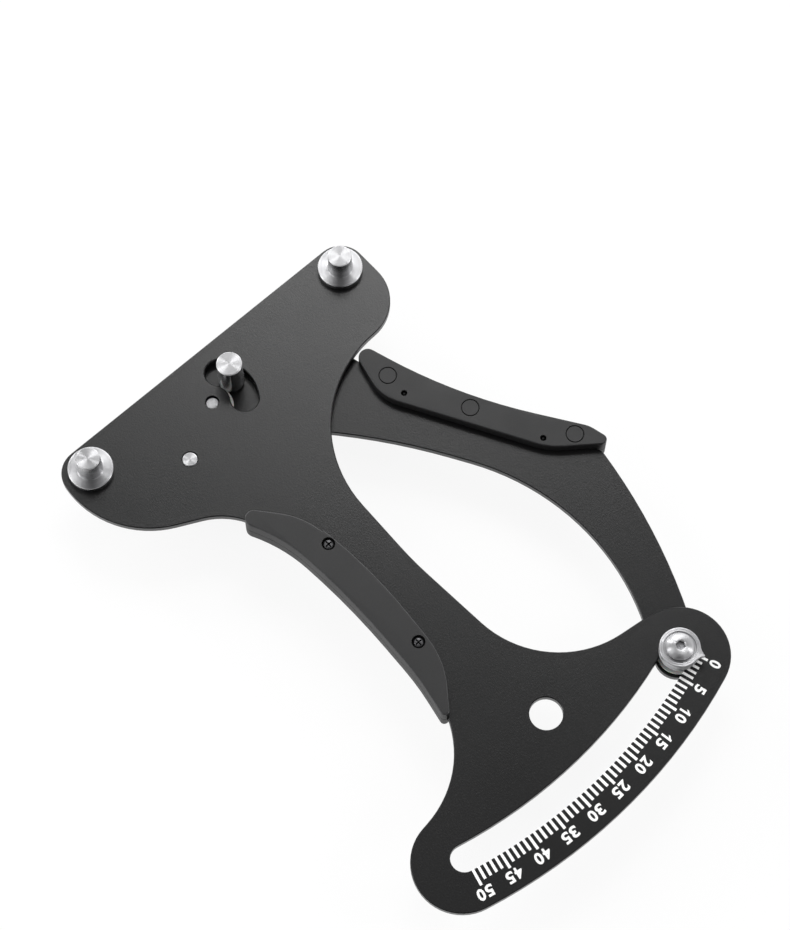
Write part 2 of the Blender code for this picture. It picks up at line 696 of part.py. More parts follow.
SPRING_START, SPRING_TURN, LEVER_LEG, ANCHOR_LEG = spring_angles()
SPRING_FRONT = LEVER_BACK - SEAT_GAP - WIRE_RADIUS
SPRING_PITCH = 2 * WIRE_RADIUS + SPRING_TURN_GAP
SPRING_BACK = SPRING_FRONT - SPRING_PITCH * SPRING_TURN / FULL_TURN
SPOOL_FLANGE_FRONT = SPRING_BACK - WIRE_RADIUS - SEAT_GAP
SPOOL_BACK = SPOOL_FLANGE_FRONT - SPOOL_FLANGE_THICKNESS
BOLT_HEAD_FRONT = SPOOL_BACK - SEAT_GAP
TOOL_BACK = BOLT_HEAD_FRONT - BOLT_HEAD_HEIGHT


def spring_points():
    # A helix with both ends carried on straight along its tangents.
    steps = math.ceil(SPRING_TURN / FULL_TURN * CURL_POINTS)
    coil = []
    for step in range(steps + 1):
        share = step / steps
        place = polar(COIL_RADIUS, SPRING_START + SPRING_TURN * share)
        coil.append(Vector((*place, SPRING_FRONT + (SPRING_BACK - SPRING_FRONT) * share)))
    stop = SPRING_START + SPRING_TURN
    first = coil[0] + Vector((*polar(LEVER_LEG, SPRING_START - math.pi / 2), 0.0))
    last = coil[-1] + Vector((*polar(ANCHOR_LEG, stop + math.pi / 2), 0.0))
    return [first] + coil + [last]


def least_gap(points):
    # Least distance between stretches that are more than half a turn apart, less the wire.
    samples = []
    travelled = 0.0
    for a, b in zip(points, points[1:]):
        pieces = max(1, math.ceil((b - a).length / WIRE_RADIUS))
        for piece in range(pieces):
            samples.append((travelled + (b - a).length * piece / pieces, a.lerp(b, piece / pieces)))
        travelled += (b - a).length
    apart = math.pi * COIL_RADIUS
    least = min(
        (p - q).length
        for i, (s, p) in enumerate(samples) for t, q in samples[i + 1:] if t - s > apart
    )
    return least - 2 * WIRE_RADIUS


def make_torsion_spring(frame):
    points = spring_points()
    print("torsion_spring least gap to itself, mm:", round(least_gap(points) * 1000, 3))
    curve = bpy.data.curves.new("torsion_spring", "CURVE")
    curve.dimensions = "3D"
    curve.bevel_depth = WIRE_RADIUS
    curve.bevel_resolution = 1
    curve.use_fill_caps = True
    line = curve.splines.new("POLY")
    line.points.add(len(points) - 1)
    for target, point in zip(line.points, points):
        target.co = (*point, 1.0)
    curve.materials.append(spring_steel())
    piece = bpy.data.objects.new("torsion_spring", curve)
    bpy.context.scene.collection.objects.link(piece)
    piece.parent = frame


def make_pivot_bolt(frame):
    shoulder_top = BODY_BACK - SEAT_GAP
    end = -PIVOT_RECESS
    bm = bmesh.new()
    add_turned(bm, [
        (0.0, end), (PIVOT_END_RADIUS - PIVOT_END_CHAMFER, end),
        (PIVOT_END_RADIUS, end - PIVOT_END_CHAMFER), (PIVOT_END_RADIUS, shoulder_top),
        (SHOULDER_RADIUS, shoulder_top), (SHOULDER_RADIUS, BOLT_HEAD_FRONT),
        (BOLT_HEAD_RADIUS, BOLT_HEAD_FRONT),
        (BOLT_HEAD_RADIUS, TOOL_BACK + BOLT_HEAD_CHAMFER),
        (BOLT_HEAD_RADIUS - BOLT_HEAD_CHAMFER, TOOL_BACK), (0.0, TOOL_BACK),
    ])
    piece = place_piece("pivot_bolt", bm, zinc_steel(), frame)
    socket = bmesh.new()
    add_hexagon(socket, (0.0, 0.0), BOLT_SOCKET, TOOL_BACK - OVERRUN, TOOL_BACK + BOLT_SOCKET_DEPTH)
    cut_piece(piece, socket, "pivot_bolt_socket")


def make_pivot_washer(frame):
    top = BODY_BACK - SEAT_GAP
    bm = bmesh.new()
    profile = ring_profile(SHOULDER_RADIUS + SEAT_GAP, PIVOT_WASHER_RADIUS, top - WASHER_THICKNESS, top)
    add_turned(bm, profile, closed=True)
    place_piece("pivot_washer", bm, pale_nylon(), frame)


def make_lever_bush(lever):
    bore = SHOULDER_RADIUS + SEAT_GAP
    bm = bmesh.new()
    add_turned(bm, ring_profile(bore, bore + BUSH_WALL, LEVER_BACK, LEVER_FRONT), closed=True)
    place_piece("lever_bush", bm, bronze(), lever)


def make_spring_spool(frame):
    bore = SHOULDER_RADIUS + SEAT_GAP
    sleeve = SPRING_BORE_RADIUS - SPOOL_PLAY
    flange = COIL_RADIUS + WIRE_RADIUS + SPOOL_FLANGE_EXTRA
    bm = bmesh.new()
    add_turned(bm, [
        (bore, SPOOL_BACK), (flange, SPOOL_BACK), (flange, SPOOL_FLANGE_FRONT),
        (sleeve, SPOOL_FLANGE_FRONT), (sleeve, LEVER_BACK - SEAT_GAP), (bore, LEVER_BACK - SEAT_GAP),
    ], closed=True)
    place_piece("spring_spool", bm, pale_nylon(), frame)


def make_anchor_pin(frame):
    shoulder = BODY_BACK - SEAT_GAP
    neck_front = SPRING_BACK + WIRE_RADIUS + SEAT_GAP
    neck_back = SPRING_BACK - WIRE_RADIUS - SEAT_GAP
    end = neck_back - ANCHOR_HEAD_LENGTH
    bm = bmesh.new()
    add_turned(bm, [
        (0.0, 0.0), (ANCHOR_PIN_RADIUS - PIN_CHAMFER, 0.0), (ANCHOR_PIN_RADIUS, -PIN_CHAMFER),
        (ANCHOR_PIN_RADIUS, shoulder), (ANCHOR_SHOULDER_RADIUS, shoulder),
        (ANCHOR_SHOULDER_RADIUS, neck_front), (ANCHOR_NECK_RADIUS, neck_front),
        (ANCHOR_NECK_RADIUS, neck_back), (ANCHOR_SHOULDER_RADIUS, neck_back),
        (ANCHOR_SHOULDER_RADIUS, end + PIN_CHAMFER),
        (ANCHOR_SHOULDER_RADIUS - PIN_CHAMFER, end), (0.0, end),
    ], ANCHOR_PLACE)
    place_piece("spring_anchor_pin", bm, bright_steel(), frame)


def make_lever_pin(lever):
    shoulder = LEVER_BACK - SEAT_GAP
    end = SPRING_FRONT - WIRE_RADIUS - LEVER_PIN_EXTRA
    bm = bmesh.new()
    add_turned(bm, [
        (0.0, LEVER_FRONT), (LEVER_PIN_STUB_RADIUS, LEVER_FRONT),
        (LEVER_PIN_STUB_RADIUS, shoulder), (LEVER_PIN_RADIUS, shoulder),
        (LEVER_PIN_RADIUS, end + PIN_CHAMFER), (LEVER_PIN_RADIUS - PIN_CHAMFER, end), (0.0, end),
    ], LEVER_PIN_PLACE)
    place_piece("lever_spring_pin", bm, zinc_steel(), lever)


# Grips: heights are measured from the plate's middle plane, up or down by facing

def add_grip_half(bm, circles, mid, facing):
    stations = belt_stations(circles)
    top = GRIP_HEIGHT / 2
    edge = GRIP_ROUNDING
    diagonal = math.sqrt(0.5)
    levels = [
        (SEAT_GAP / 2, 0.0),
        (top - edge, 0.0),
        (top - edge * (1 - diagonal), -edge * (1 - diagonal)),
        (top, -edge),
    ]
    rings = [(mid + facing * height, belt_points(stations, grow)) for height, grow in levels]
    add_loft(bm, rings if facing > 0 else rings[::-1])


def span(mid, facing, start, stop):
    # Two heights off the middle plane as (low, high).
    return sorted((mid + facing * start, mid + facing * stop))


def make_grip_half(name, circles, plate, places, mid, facing, has_heads, is_pierced, parent):
    bm = bmesh.new()
    add_grip_half(bm, circles, mid, facing)
    piece = place_piece(name, bm, black_moulding(), parent)
    face = GRIP_HEIGHT / 2
    pocket = PLATE_THICKNESS / 2 + POCKET_DEPTH_GAP
    cuts = bmesh.new()
    add_prism(cuts, plate, *span(mid, facing, -OVERRUN, pocket), SEAT_GAP)
    cut_piece(piece, cuts, name + "_pocket")
    drills = bmesh.new()
    bore = GRIP_SCREW_RADIUS + SEAT_GAP
    for place in places:
        if has_heads:
            floor = face - GRIP_COUNTERBORE_DEPTH
            low, high = span(mid, facing, -OVERRUN, floor)
            wide_low, wide_high = span(mid, facing, floor, face + OVERRUN)
            if facing > 0:
                profile = [(0.0, low), (bore, low), (bore, high), (GRIP_COUNTERBORE_RADIUS, high),
                           (GRIP_COUNTERBORE_RADIUS, wide_high), (0.0, wide_high)]
            else:
                profile = [(0.0, wide_low), (GRIP_COUNTERBORE_RADIUS, wide_low),
                           (GRIP_COUNTERBORE_RADIUS, low), (bore, low), (bore, high), (0.0, high)]
            add_turned(drills, profile, place)
        elif is_pierced:
            low, high = span(mid, facing, -OVERRUN, face - PILOT_DEPTH)
            pilot_high = mid + facing * (face + OVERRUN)
            add_turned(drills, [
                (0.0, low), (bore, low), (bore, high), (PILOT_RADIUS, high),
                (PILOT_RADIUS, pilot_high), (0.0, pilot_high),
            ], place)
        else:
            add_drill(drills, place, bore, *span(mid, facing, -OVERRUN, face - BLIND_WALL))
    cut_piece(piece, drills, name + "_drills")


def make_grip_screw(name, place, mid, facing, is_pointed, parent):
    # The head lies in the half on the facing side, and the tip in the other half.
    face = GRIP_HEIGHT / 2
    seat = face - GRIP_COUNTERBORE_DEPTH + SEAT_GAP
    crown = seat + GRIP_SCREW_HEAD_HEIGHT
    if is_pointed:
        tip = SCREW_POINT_RECESS - face
        waist = SEAT_GAP + PILOT_DEPTH - face
        point = [(0.0, tip), (GRIP_SCREW_POINT_RADIUS, tip), (GRIP_SCREW_POINT_RADIUS, waist)]
    else:
        tip = BLIND_WALL + SEAT_GAP - face
        waist = tip + GRIP_SCREW_RADIUS - GRIP_SCREW_POINT_RADIUS
        point = [(0.0, tip), (GRIP_SCREW_POINT_RADIUS, tip)]
    profile = point + [
        (GRIP_SCREW_RADIUS, waist), (GRIP_SCREW_RADIUS, seat),
        (GRIP_SCREW_HEAD_RADIUS, seat), (GRIP_SCREW_HEAD_RADIUS, crown - SEAT_GAP),
        (GRIP_SCREW_HEAD_RADIUS - SEAT_GAP, crown), (0.0, crown),
    ]
    bm = bmesh.new()
    add_turned(bm, [(radius, mid + facing * height) for radius, height in profile], place)
    piece = place_piece(name, bm, black_oxide(), parent)
    low, high = span(mid, facing, crown - CROSS_DEPTH, crown + OVERRUN)
    cross = bmesh.new()
    x, y = place
    arm = GRIP_SCREW_HEAD_RADIUS * CROSS_SPAN_SHARE
    half = CROSS_WIDTH / 2
    corners = [(arm, -half), (arm, half), (half, half)]
    points = []
    for quarter in range(4):
        turn = quarter * math.pi / 2
        for across, up in corners:
            points.append((
                x + across * math.cos(turn) - up * math.sin(turn),
                y + across * math.sin(turn) + up * math.cos(turn),
            ))
    add_loft(cross, [(low, points), (high, points)])
    cut_piece(piece, cross, name + "_cross")


def make_grips(frame, lever):
    left = left_grip_circles()
    right = right_grip_circles()
    body = body_circles()
    arm = lever_circles()
    make_grip_half("grip_left_front", left, body, LEFT_SCREW_PLACES, LEFT_MID, 1, True, False, frame)
    make_grip_half("grip_left_back", left, body, LEFT_SCREW_PLACES, LEFT_MID, -1, False, False, frame)
    make_grip_half("grip_right_front", right, arm, RIGHT_SCREW_PLACES, RIGHT_MID, 1, False, True, lever)
    make_grip_half("grip_right_back", right, arm, RIGHT_SCREW_PLACES, RIGHT_MID, -1, True, False, lever)
    for number, place in zip(("upper", "lower"), LEFT_SCREW_PLACES):
        make_grip_screw("grip_left_screw_" + number, place, LEFT_MID, 1, False, frame)
    for number, place in zip(("upper", "lower"), RIGHT_SCREW_PLACES):
        make_grip_screw("grip_right_screw_" + number, place, RIGHT_MID, -1, True, lever)


# Pointer stack

COLLAR_BASE = SEAT_GAP
COLLAR_TOP = COLLAR_BASE + COLLAR_HEIGHT
POINTER_BASE = COLLAR_TOP + SEAT_GAP
POINTER_TOP = POINTER_BASE + POINTER_THICKNESS
HEAD_SEAT = POINTER_TOP - POINTER_RECESS_DEPTH + SEAT_GAP
NUT_WASHER_BACK = LEVER_BACK - SEAT_GAP - NUT_WASHER_THICKNESS
NUT_FRONT = NUT_WASHER_BACK - SEAT_GAP
NUT_BACK = NUT_FRONT - NUT_THICKNESS


def make_pointer_collar(lever):
    bore = POINTER_SCREW_RADIUS + SEAT_GAP
    groove = COLLAR_RADIUS - COLLAR_GROOVE
    profile = [
        (bore, LEVER_FRONT + SEAT_GAP), (BARREL_RADIUS, LEVER_FRONT + SEAT_GAP),
        (BARREL_RADIUS, COLLAR_BASE), (COLLAR_RADIUS, COLLAR_BASE),
    ]
    for index, share in enumerate(COLLAR_BAND_SHARES):
        height = COLLAR_BASE + COLLAR_HEIGHT * share
        enters = index % 2 == 0
        profile.append((COLLAR_RADIUS if enters else groove, height))
        profile.append((groove if enters else COLLAR_RADIUS, height))
    profile += [(COLLAR_RADIUS, COLLAR_TOP), (bore, COLLAR_TOP)]
    bm = bmesh.new()
    add_turned(bm, profile, POINTER_PLACE, closed=True)
    place_piece("pointer_collar", bm, bright_steel(), lever)


def make_pointer_washer(lever):
    top = BODY_BACK - SEAT_GAP
    bm = bmesh.new()
    profile = ring_profile(BARREL_RADIUS + SEAT_GAP, COLLAR_RADIUS, top - WASHER_THICKNESS, top)
    add_turned(bm, profile, POINTER_PLACE, closed=True)
    place_piece("pointer_washer", bm, pale_nylon(), lever)


def make_pointer(lever):
    direction = REST_ANGLE + POINTER_TURN
    tip_place = POINTER_PLACE + polar(POINTER_TIP_DISTANCE, direction)
    disc = (POINTER_PLACE.x, POINTER_PLACE.y, POINTER_RADIUS)
    tip = (tip_place.x, tip_place.y, POINTER_TIP_RADIUS)
    circles = [
        disc, hollow_between(disc, tip, POINTER_FLARE_RADIUS, -1),
        tip, hollow_between(disc, tip, POINTER_FLARE_RADIUS, 1),
    ]
    stations = belt_stations(circles)
    bm = bmesh.new()
    add_loft(bm, [
        (POINTER_BASE, belt_points(stations)),
        (POINTER_TOP - POINTER_CHAMFER, belt_points(stations)),
        (POINTER_TOP, belt_points(stations, -POINTER_CHAMFER)),
    ])
    piece = place_piece("pointer", bm, bright_steel(), lever)
    floor = POINTER_TOP - POINTER_RECESS_DEPTH
    bore = POINTER_SCREW_RADIUS + SEAT_GAP
    cuts = bmesh.new()
    add_turned(cuts, [
        (0.0, POINTER_BASE - OVERRUN), (bore, POINTER_BASE - OVERRUN), (bore, floor),
        (POINTER_RECESS_RADIUS, floor), (POINTER_RECESS_RADIUS, POINTER_TOP + OVERRUN),
        (0.0, POINTER_TOP + OVERRUN),
    ], POINTER_PLACE)
    cut_piece(piece, cuts, "pointer_recess")


def make_pointer_screw(lever):
    tip = NUT_BACK - POINTER_SCREW_EXTRA
    crown = HEAD_SEAT + POINTER_SCREW_HEAD_HEIGHT
    rim = HEAD_SEAT + POINTER_SCREW_RIM
    profile = [
        (0.0, tip), (POINTER_SCREW_RADIUS - SCREW_TIP_CHAMFER, tip),
        (POINTER_SCREW_RADIUS, tip + SCREW_TIP_CHAMFER), (POINTER_SCREW_RADIUS, HEAD_SEAT),
        (POINTER_SCREW_HEAD_RADIUS, HEAD_SEAT),
    ]
    for step in range(DOME_STEPS + 1):
        angle = math.pi / 2 * step / DOME_STEPS
        width = POINTER_SCREW_HEAD_RADIUS - POINTER_SCREW_TOP_RADIUS
        profile.append((
            POINTER_SCREW_TOP_RADIUS + width * math.cos(angle),
            rim + (crown - rim) * math.sin(angle),
        ))
    profile.append((0.0, crown))
    bm = bmesh.new()
    add_turned(bm, profile, POINTER_PLACE)
    piece = place_piece("pointer_screw", bm, bright_steel(), lever)
    socket = bmesh.new()
    depth = crown - POINTER_SCREW_SOCKET_DEPTH
    add_hexagon(socket, POINTER_PLACE, POINTER_SCREW_SOCKET, depth, crown + OVERRUN)
    cut_piece(piece, socket, "pointer_screw_socket")


def make_pointer_nut(lever):
    bore = POINTER_SCREW_RADIUS + SEAT_GAP
    top = LEVER_BACK - SEAT_GAP
    washer = bmesh.new()
    add_turned(washer, ring_profile(bore, NUT_WASHER_RADIUS, NUT_WASHER_BACK, top),
               POINTER_PLACE, closed=True)
    place_piece("pointer_nut_washer", washer, zinc_steel(), lever)
    nut = bmesh.new()
    add_hexagon(nut, POINTER_PLACE, NUT_ACROSS_FLATS, NUT_BACK, NUT_FRONT)
    piece = place_piece("pointer_nut", nut, zinc_steel(), lever)
    drill = bmesh.new()
    mouth = bore + NUT_CHAMFER
    add_turned(drill, [
        (0.0, NUT_BACK - OVERRUN), (mouth + OVERRUN, NUT_BACK - OVERRUN),
        (bore, NUT_BACK + NUT_CHAMFER), (bore, NUT_FRONT + OVERRUN), (0.0, NUT_FRONT + OVERRUN),
    ], POINTER_PLACE)
    cut_piece(piece, drill, "pointer_nut_drill")


# The whole tool

def footprint():
    # Lowest and highest x and y of the outlines.
    points = []
    for circles in (body_circles(), lever_circles(), left_grip_circles(), right_grip_circles()):
        points += belt_points(belt_stations(circles))
    xs = [x for x, y in points]
    ys = [y for x, y in points]
    return min(xs), max(xs), min(ys), max(ys)


def make_empty(name, place, parent=None):
    empty = bpy.data.objects.new(name, None)
    bpy.context.scene.collection.objects.link(empty)
    empty.location = place
    empty.parent = parent
    return empty


def main():
    for thing in list(bpy.data.objects):
        bpy.data.objects.remove(thing, do_unlink=True)
    left, right, low, high = footprint()
    shift = (-(left + right) / 2, -(low + high) / 2, -TOOL_BACK)
    frame = make_empty("tool_frame", shift)
    lever = make_empty("lever_pivot", (0.0, 0.0, 0.0), frame)
    make_body_plate(frame)
    make_fixed_post("post_left", POST_LEFT, frame)
    make_fixed_post("post_right", POST_RIGHT, frame)
    make_post_screw("post_screw_left", POST_LEFT, BODY_BACK, frame)
    make_post_screw("post_screw_right", POST_RIGHT, BODY_BACK, frame)
    make_pivot_bolt(frame)
    make_pivot_washer(frame)
    make_spring_spool(frame)
    make_torsion_spring(frame)
    make_anchor_pin(frame)
    make_lever_plate(lever)
    make_lever_bush(lever)
    make_moving_post(lever)
    make_post_screw("moving_post_screw", MOVING_POST_PLACE, LEVER_BACK, lever)
    make_lever_pin(lever)
    make_grips(frame, lever)
    make_pointer_collar(lever)
    make_pointer_washer(lever)
    make_pointer(lever)
    make_pointer_screw(lever)
    make_pointer_nut(lever)
    print("pivot axis stands at, mm:", [round(value * 1000, 4) for value in shift])


main()
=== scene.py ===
import math

import bmesh
import bpy
import numpy as np
from mathutils import Matrix, Vector


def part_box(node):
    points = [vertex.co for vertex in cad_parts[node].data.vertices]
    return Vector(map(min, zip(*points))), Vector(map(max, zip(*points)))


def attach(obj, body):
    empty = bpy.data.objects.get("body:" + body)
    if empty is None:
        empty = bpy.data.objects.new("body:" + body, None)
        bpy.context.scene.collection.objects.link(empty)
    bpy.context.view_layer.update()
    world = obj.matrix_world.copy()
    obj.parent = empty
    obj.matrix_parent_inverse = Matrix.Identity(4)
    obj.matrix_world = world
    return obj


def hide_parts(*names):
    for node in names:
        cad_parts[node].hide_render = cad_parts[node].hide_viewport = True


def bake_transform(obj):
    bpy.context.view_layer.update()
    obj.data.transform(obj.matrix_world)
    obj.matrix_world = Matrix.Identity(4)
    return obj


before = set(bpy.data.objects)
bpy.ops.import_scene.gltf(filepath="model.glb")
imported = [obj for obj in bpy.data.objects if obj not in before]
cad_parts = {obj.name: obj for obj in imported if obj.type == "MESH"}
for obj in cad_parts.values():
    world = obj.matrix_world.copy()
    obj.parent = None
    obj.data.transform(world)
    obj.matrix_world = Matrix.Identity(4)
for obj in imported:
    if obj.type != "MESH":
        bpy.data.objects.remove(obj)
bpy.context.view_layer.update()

mm = 0.001
boltLow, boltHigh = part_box("pivot_bolt")
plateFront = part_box("body_plate")[1].z
# The drawing's origin: the pivot axis on the front face of the body plate.
origin = np.array([(boltLow.x + boltHigh.x) / 2, (boltLow.y + boltHigh.y) / 2, plateFront])
print("scene: drawing origin at", [round(value * 1000, 3) for value in origin])


def toRow(points):
    # Drawing places in mm become places in the row frame in metres.
    return np.asarray(points, float) * mm + origin


def heightOf(z):
    # A row height as a drawing height in mm.
    return (z - origin[2]) / mm


def axisOf(node):
    # Middle of a node's box, as x and y in drawing mm.
    low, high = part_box(node)
    middle = (np.array(low) + np.array(high)) / 2
    return (middle - origin)[:2] / mm


def polar(radius, angle):
    return np.array([radius * math.cos(angle), radius * math.sin(angle)])


# Materials

def newFinish(name, look, metallic, level=0.5, anisotropy=0.0):
    finish = bpy.data.materials.new(name)
    finish.use_nodes = True
    shader = finish.node_tree.nodes["Principled BSDF"]
    shader.inputs["Base Color"].default_value = (*look["colour"], 1.0)
    shader.inputs["Roughness"].default_value = look["roughness"]
    shader.inputs["Metallic"].default_value = metallic
    shader.inputs["Specular IOR Level"].default_value = level
    shader.inputs["Anisotropic"].default_value = anisotropy
    return finish, finish.node_tree, shader


def addNode(tree, kind, inputs=None, **settings):
    node = tree.nodes.new(kind)
    for key, value in settings.items():
        setattr(node, key, value)
    for key, value in (inputs or {}).items():
        if isinstance(value, bpy.types.NodeSocket):
            tree.links.new(value, node.inputs[key])
        else:
            node.inputs[key].default_value = value
    return node


def cloud(tree, scale, detail=2.0, rough=0.5, place=None):
    # Noise through the object's own space, or through the given places.
    if place is None:
        place = addNode(tree, "ShaderNodeTexCoord").outputs["Object"]
    inputs = {"Vector": place, "Scale": scale, "Detail": detail, "Roughness": rough}
    return addNode(tree, "ShaderNodeTexNoise", inputs).outputs["Fac"]


def spread(tree, value, low, high, fromLow=0.3, fromHigh=0.7):
    inputs = {"Value": value, "From Min": fromLow, "From Max": fromHigh, "To Min": low, "To Max": high}
    return addNode(tree, "ShaderNodeMapRange", inputs).outputs["Result"]


def reckon(tree, operation, first, second=0.0, clamp=False):
    node = addNode(tree, "ShaderNodeMath", {0: first, 1: second}, operation=operation, use_clamp=clamp)
    return node.outputs["Value"]


def times(tree, first, second):
    return reckon(tree, "MULTIPLY", first, second)


def flatness(tree):
    # How far the surface faces up or down, by its own normal: 1 on faces, 0 on walls.
    normal = addNode(tree, "ShaderNodeTexCoord").outputs["Normal"]
    return reckon(tree, "ABSOLUTE", addNode(tree, "ShaderNodeSeparateXYZ", {0: normal}).outputs["Z"])


def tinted(tree, colour, factor):
    # The colour times a factor that changes over the surface.
    mix = addNode(tree, "ShaderNodeVectorMath", operation="SCALE")
    mix.inputs[0].default_value = colour
    tree.links.new(factor, mix.inputs["Scale"])
    return mix.outputs["Vector"]


def latheLines(tree, axis, scale, detail, rough):
    # Waves that change along one axis of the piece's own UV map and not along the other.
    uv = addNode(tree, "ShaderNodeUVMap", uv_map="lathe").outputs["UV"]
    along = addNode(tree, "ShaderNodeSeparateXYZ", {0: uv}).outputs[axis]
    place = addNode(tree, "ShaderNodeCombineXYZ", {axis: along}).outputs["Vector"]
    return cloud(tree, scale, detail, rough, place)


def dressShader(tree, shader, look, tint, rough, height):
    # Tint, roughness and height change over the surface; the look gives the colour and the relief in metres.
    tree.links.new(tinted(tree, look["colour"], tint), shader.inputs["Base Color"])
    if rough:
        tree.links.new(rough, shader.inputs["Roughness"])
    bump = addNode(tree, "ShaderNodeBump", {"Height": height, "Distance": look["relief"], "Strength": 1.0})
    tree.links.new(bump.outputs["Normal"], shader.inputs["Normal"])


def anodisedBlack(name, level):
    # Bead-blasted and dyed plate: a fine grain, slow clouds in the dye and in the gloss.
    look = {
        "colour": (0.0040, 0.0040, 0.0042), "roughness": 0.30, "roughRange": (0.285, 0.315), "clouds": 22.0,
        "cloudTint": (0.95, 1.05), "grain": 1650.0, "grainTint": (0.86, 1.14), "relief": 0.000034,
    }
    finish, tree, shader = newFinish(name, look, 0.0, level)
    grain = cloud(tree, look["grain"], 3.0, 0.6)
    clouds = cloud(tree, look["clouds"], 3.0)
    tint = times(tree, spread(tree, grain, *look["grainTint"]), spread(tree, clouds, *look["cloudTint"]))
    dressShader(tree, shader, look, tint, spread(tree, clouds, *look["roughRange"]), grain)
    return finish


def mouldedBlack(name, rimHighlightGain):
    # Spark-eroded nylon: a soft pebble on the faces, and a painted highlight: the rims' colour made lighter.
    look = {
        "colour": (0.0125, 0.0125, 0.0128), "roughness": 0.52, "roughRange": (0.48, 0.56), "shine": 0.40,
        "pebble": 2600.0, "pebbleTint": (0.9, 1.1), "relief": 0.000012, "wear": 60.0, "rimRough": 0.6,
        "offFace": (0.98, 0.88), "offWall": (0.08, 0.25),      # flatness where a rim starts and is full
    }
    finish, tree, shader = newFinish(name, look, 0.0, look["shine"])
    pebble = cloud(tree, look["pebble"], 2.0, 0.5)
    wear = cloud(tree, look["wear"], 3.0)
    # The rounded rims come smoother out of the mould than the faces and walls, and their colour is painted
    # lighter as a painted highlight line along them.
    flat = flatness(tree)
    rim = times(tree, spread(tree, flat, 0.0, 1.0, *look["offFace"]),
                spread(tree, flat, 0.0, 1.0, *look["offWall"]))
    tint = times(tree, spread(tree, pebble, *look["pebbleTint"]), spread(tree, rim, 1.0, rimHighlightGain, 0.0, 1.0))
    rough = times(tree, spread(tree, wear, *look["roughRange"]),
                  spread(tree, rim, 1.0, look["rimRough"], 0.0, 1.0))
    dressShader(tree, shader, look, tint, rough, pebble)
    return finish


def turnedSteel(name, colour, roughness, anisotropy, lineCount, relief, sideShare=1.0):
    # Lathe lines run round the axis: waves along the profile, lineCount to the mm. They spread the light
    # across themselves, so the rough direction is a quarter turn off the tangent.
    look = {"colour": colour, "roughness": roughness, "relief": relief, "lineTint": (0.93, 1.05),
            "smudges": 400.0, "smudgeRough": (0.96, 1.04), "facedOff": (0.5, 0.8)}
    finish, tree, shader = newFinish(name, look, 1.0, anisotropy=anisotropy)
    shader.inputs["Anisotropic Rotation"].default_value = 0.25
    lines = latheLines(tree, "Y", lineCount, 1.0, 0.5)
    smudge = cloud(tree, look["smudges"], 3.0)
    # Faces across the axis are faced off and rougher than the turned sides.
    level = spread(tree, flatness(tree), roughness * sideShare, roughness, *look["facedOff"])
    rough = times(tree, level, spread(tree, smudge, *look["smudgeRough"]))
    dressShader(tree, shader, look, spread(tree, lines, *look["lineTint"]), rough, lines)
    tangent = addNode(tree, "ShaderNodeTangent", direction_type="UV_MAP", uv_map="lathe")
    tree.links.new(tangent.outputs["Tangent"], shader.inputs["Tangent"])
    return finish


def platedSteel(name, colour, roughness):
    # Plated small parts: faint clouds and rubbed spots.
    look = {"colour": colour, "roughness": roughness, "clouds": 260.0, "tint": (0.86, 1.06), "rubs": 900.0,
            "roughShares": (0.8, 1.25), "relief": 0.000004}
    finish, tree, shader = newFinish(name, look, 1.0)
    clouds = cloud(tree, look["clouds"], 4.0, 0.6)
    rubs = cloud(tree, look["rubs"], 4.0, 0.7)
    rough = spread(tree, rubs, *[roughness * share for share in look["roughShares"]])
    dressShader(tree, shader, look, spread(tree, clouds, *look["tint"]), rough, rubs)
    return finish


def drawnWire():
    # Hard-drawn spring wire: lines along the wire and a blue-grey oil tint.
    look = {"colour": (0.17, 0.18, 0.20), "roughness": 0.3, "lines": 40.0, "clouds": 180.0,
            "tint": (0.8, 1.15), "relief": 0.000010}
    finish, tree, shader = newFinish("drawnWire", look, 1.0, anisotropy=0.5)
    lines = latheLines(tree, "X", look["lines"], 3.0, 0.6)
    clouds = cloud(tree, look["clouds"], 3.0)
    dressShader(tree, shader, look, spread(tree, clouds, *look["tint"]), None, lines)
    return finish


def sinteredBronze():
    # Pressed and sintered powder: dark, rough pores in a smoother ground.
    look = {"colour": (0.44, 0.27, 0.115), "roughness": 0.38, "pores": 5200.0, "tint": (0.55, 1.08),
            "roughRange": (0.55, 0.34), "relief": 0.000012}
    finish, tree, shader = newFinish("sinteredBronze", look, 1.0)
    pores = cloud(tree, look["pores"], 2.0, 0.5)
    tint = spread(tree, pores, *look["tint"], 0.34, 0.5)
    dressShader(tree, shader, look, tint, spread(tree, pores, *look["roughRange"]), pores)
    return finish


def paleNylon():
    # Natural nylon: slow clouds in the tint, a fine uneven sheen and a little light through it.
    look = {"colour": (0.62, 0.62, 0.60), "roughness": 0.45, "clouds": 300.0, "tint": (0.94, 1.04),
            "sheen": 3000.0, "roughRange": (0.4, 0.52), "relief": 0.000006}
    finish, tree, shader = newFinish("paleNylon", look, 0.0)
    shader.inputs["Subsurface Weight"].default_value = 0.2
    shader.inputs["Subsurface Scale"].default_value = 0.001
    tint = spread(tree, cloud(tree, look["clouds"], 3.0), *look["tint"])
    fine = cloud(tree, look["sheen"], 2.0)
    dressShader(tree, shader, look, tint, spread(tree, fine, *look["roughRange"]), fine)
    return finish


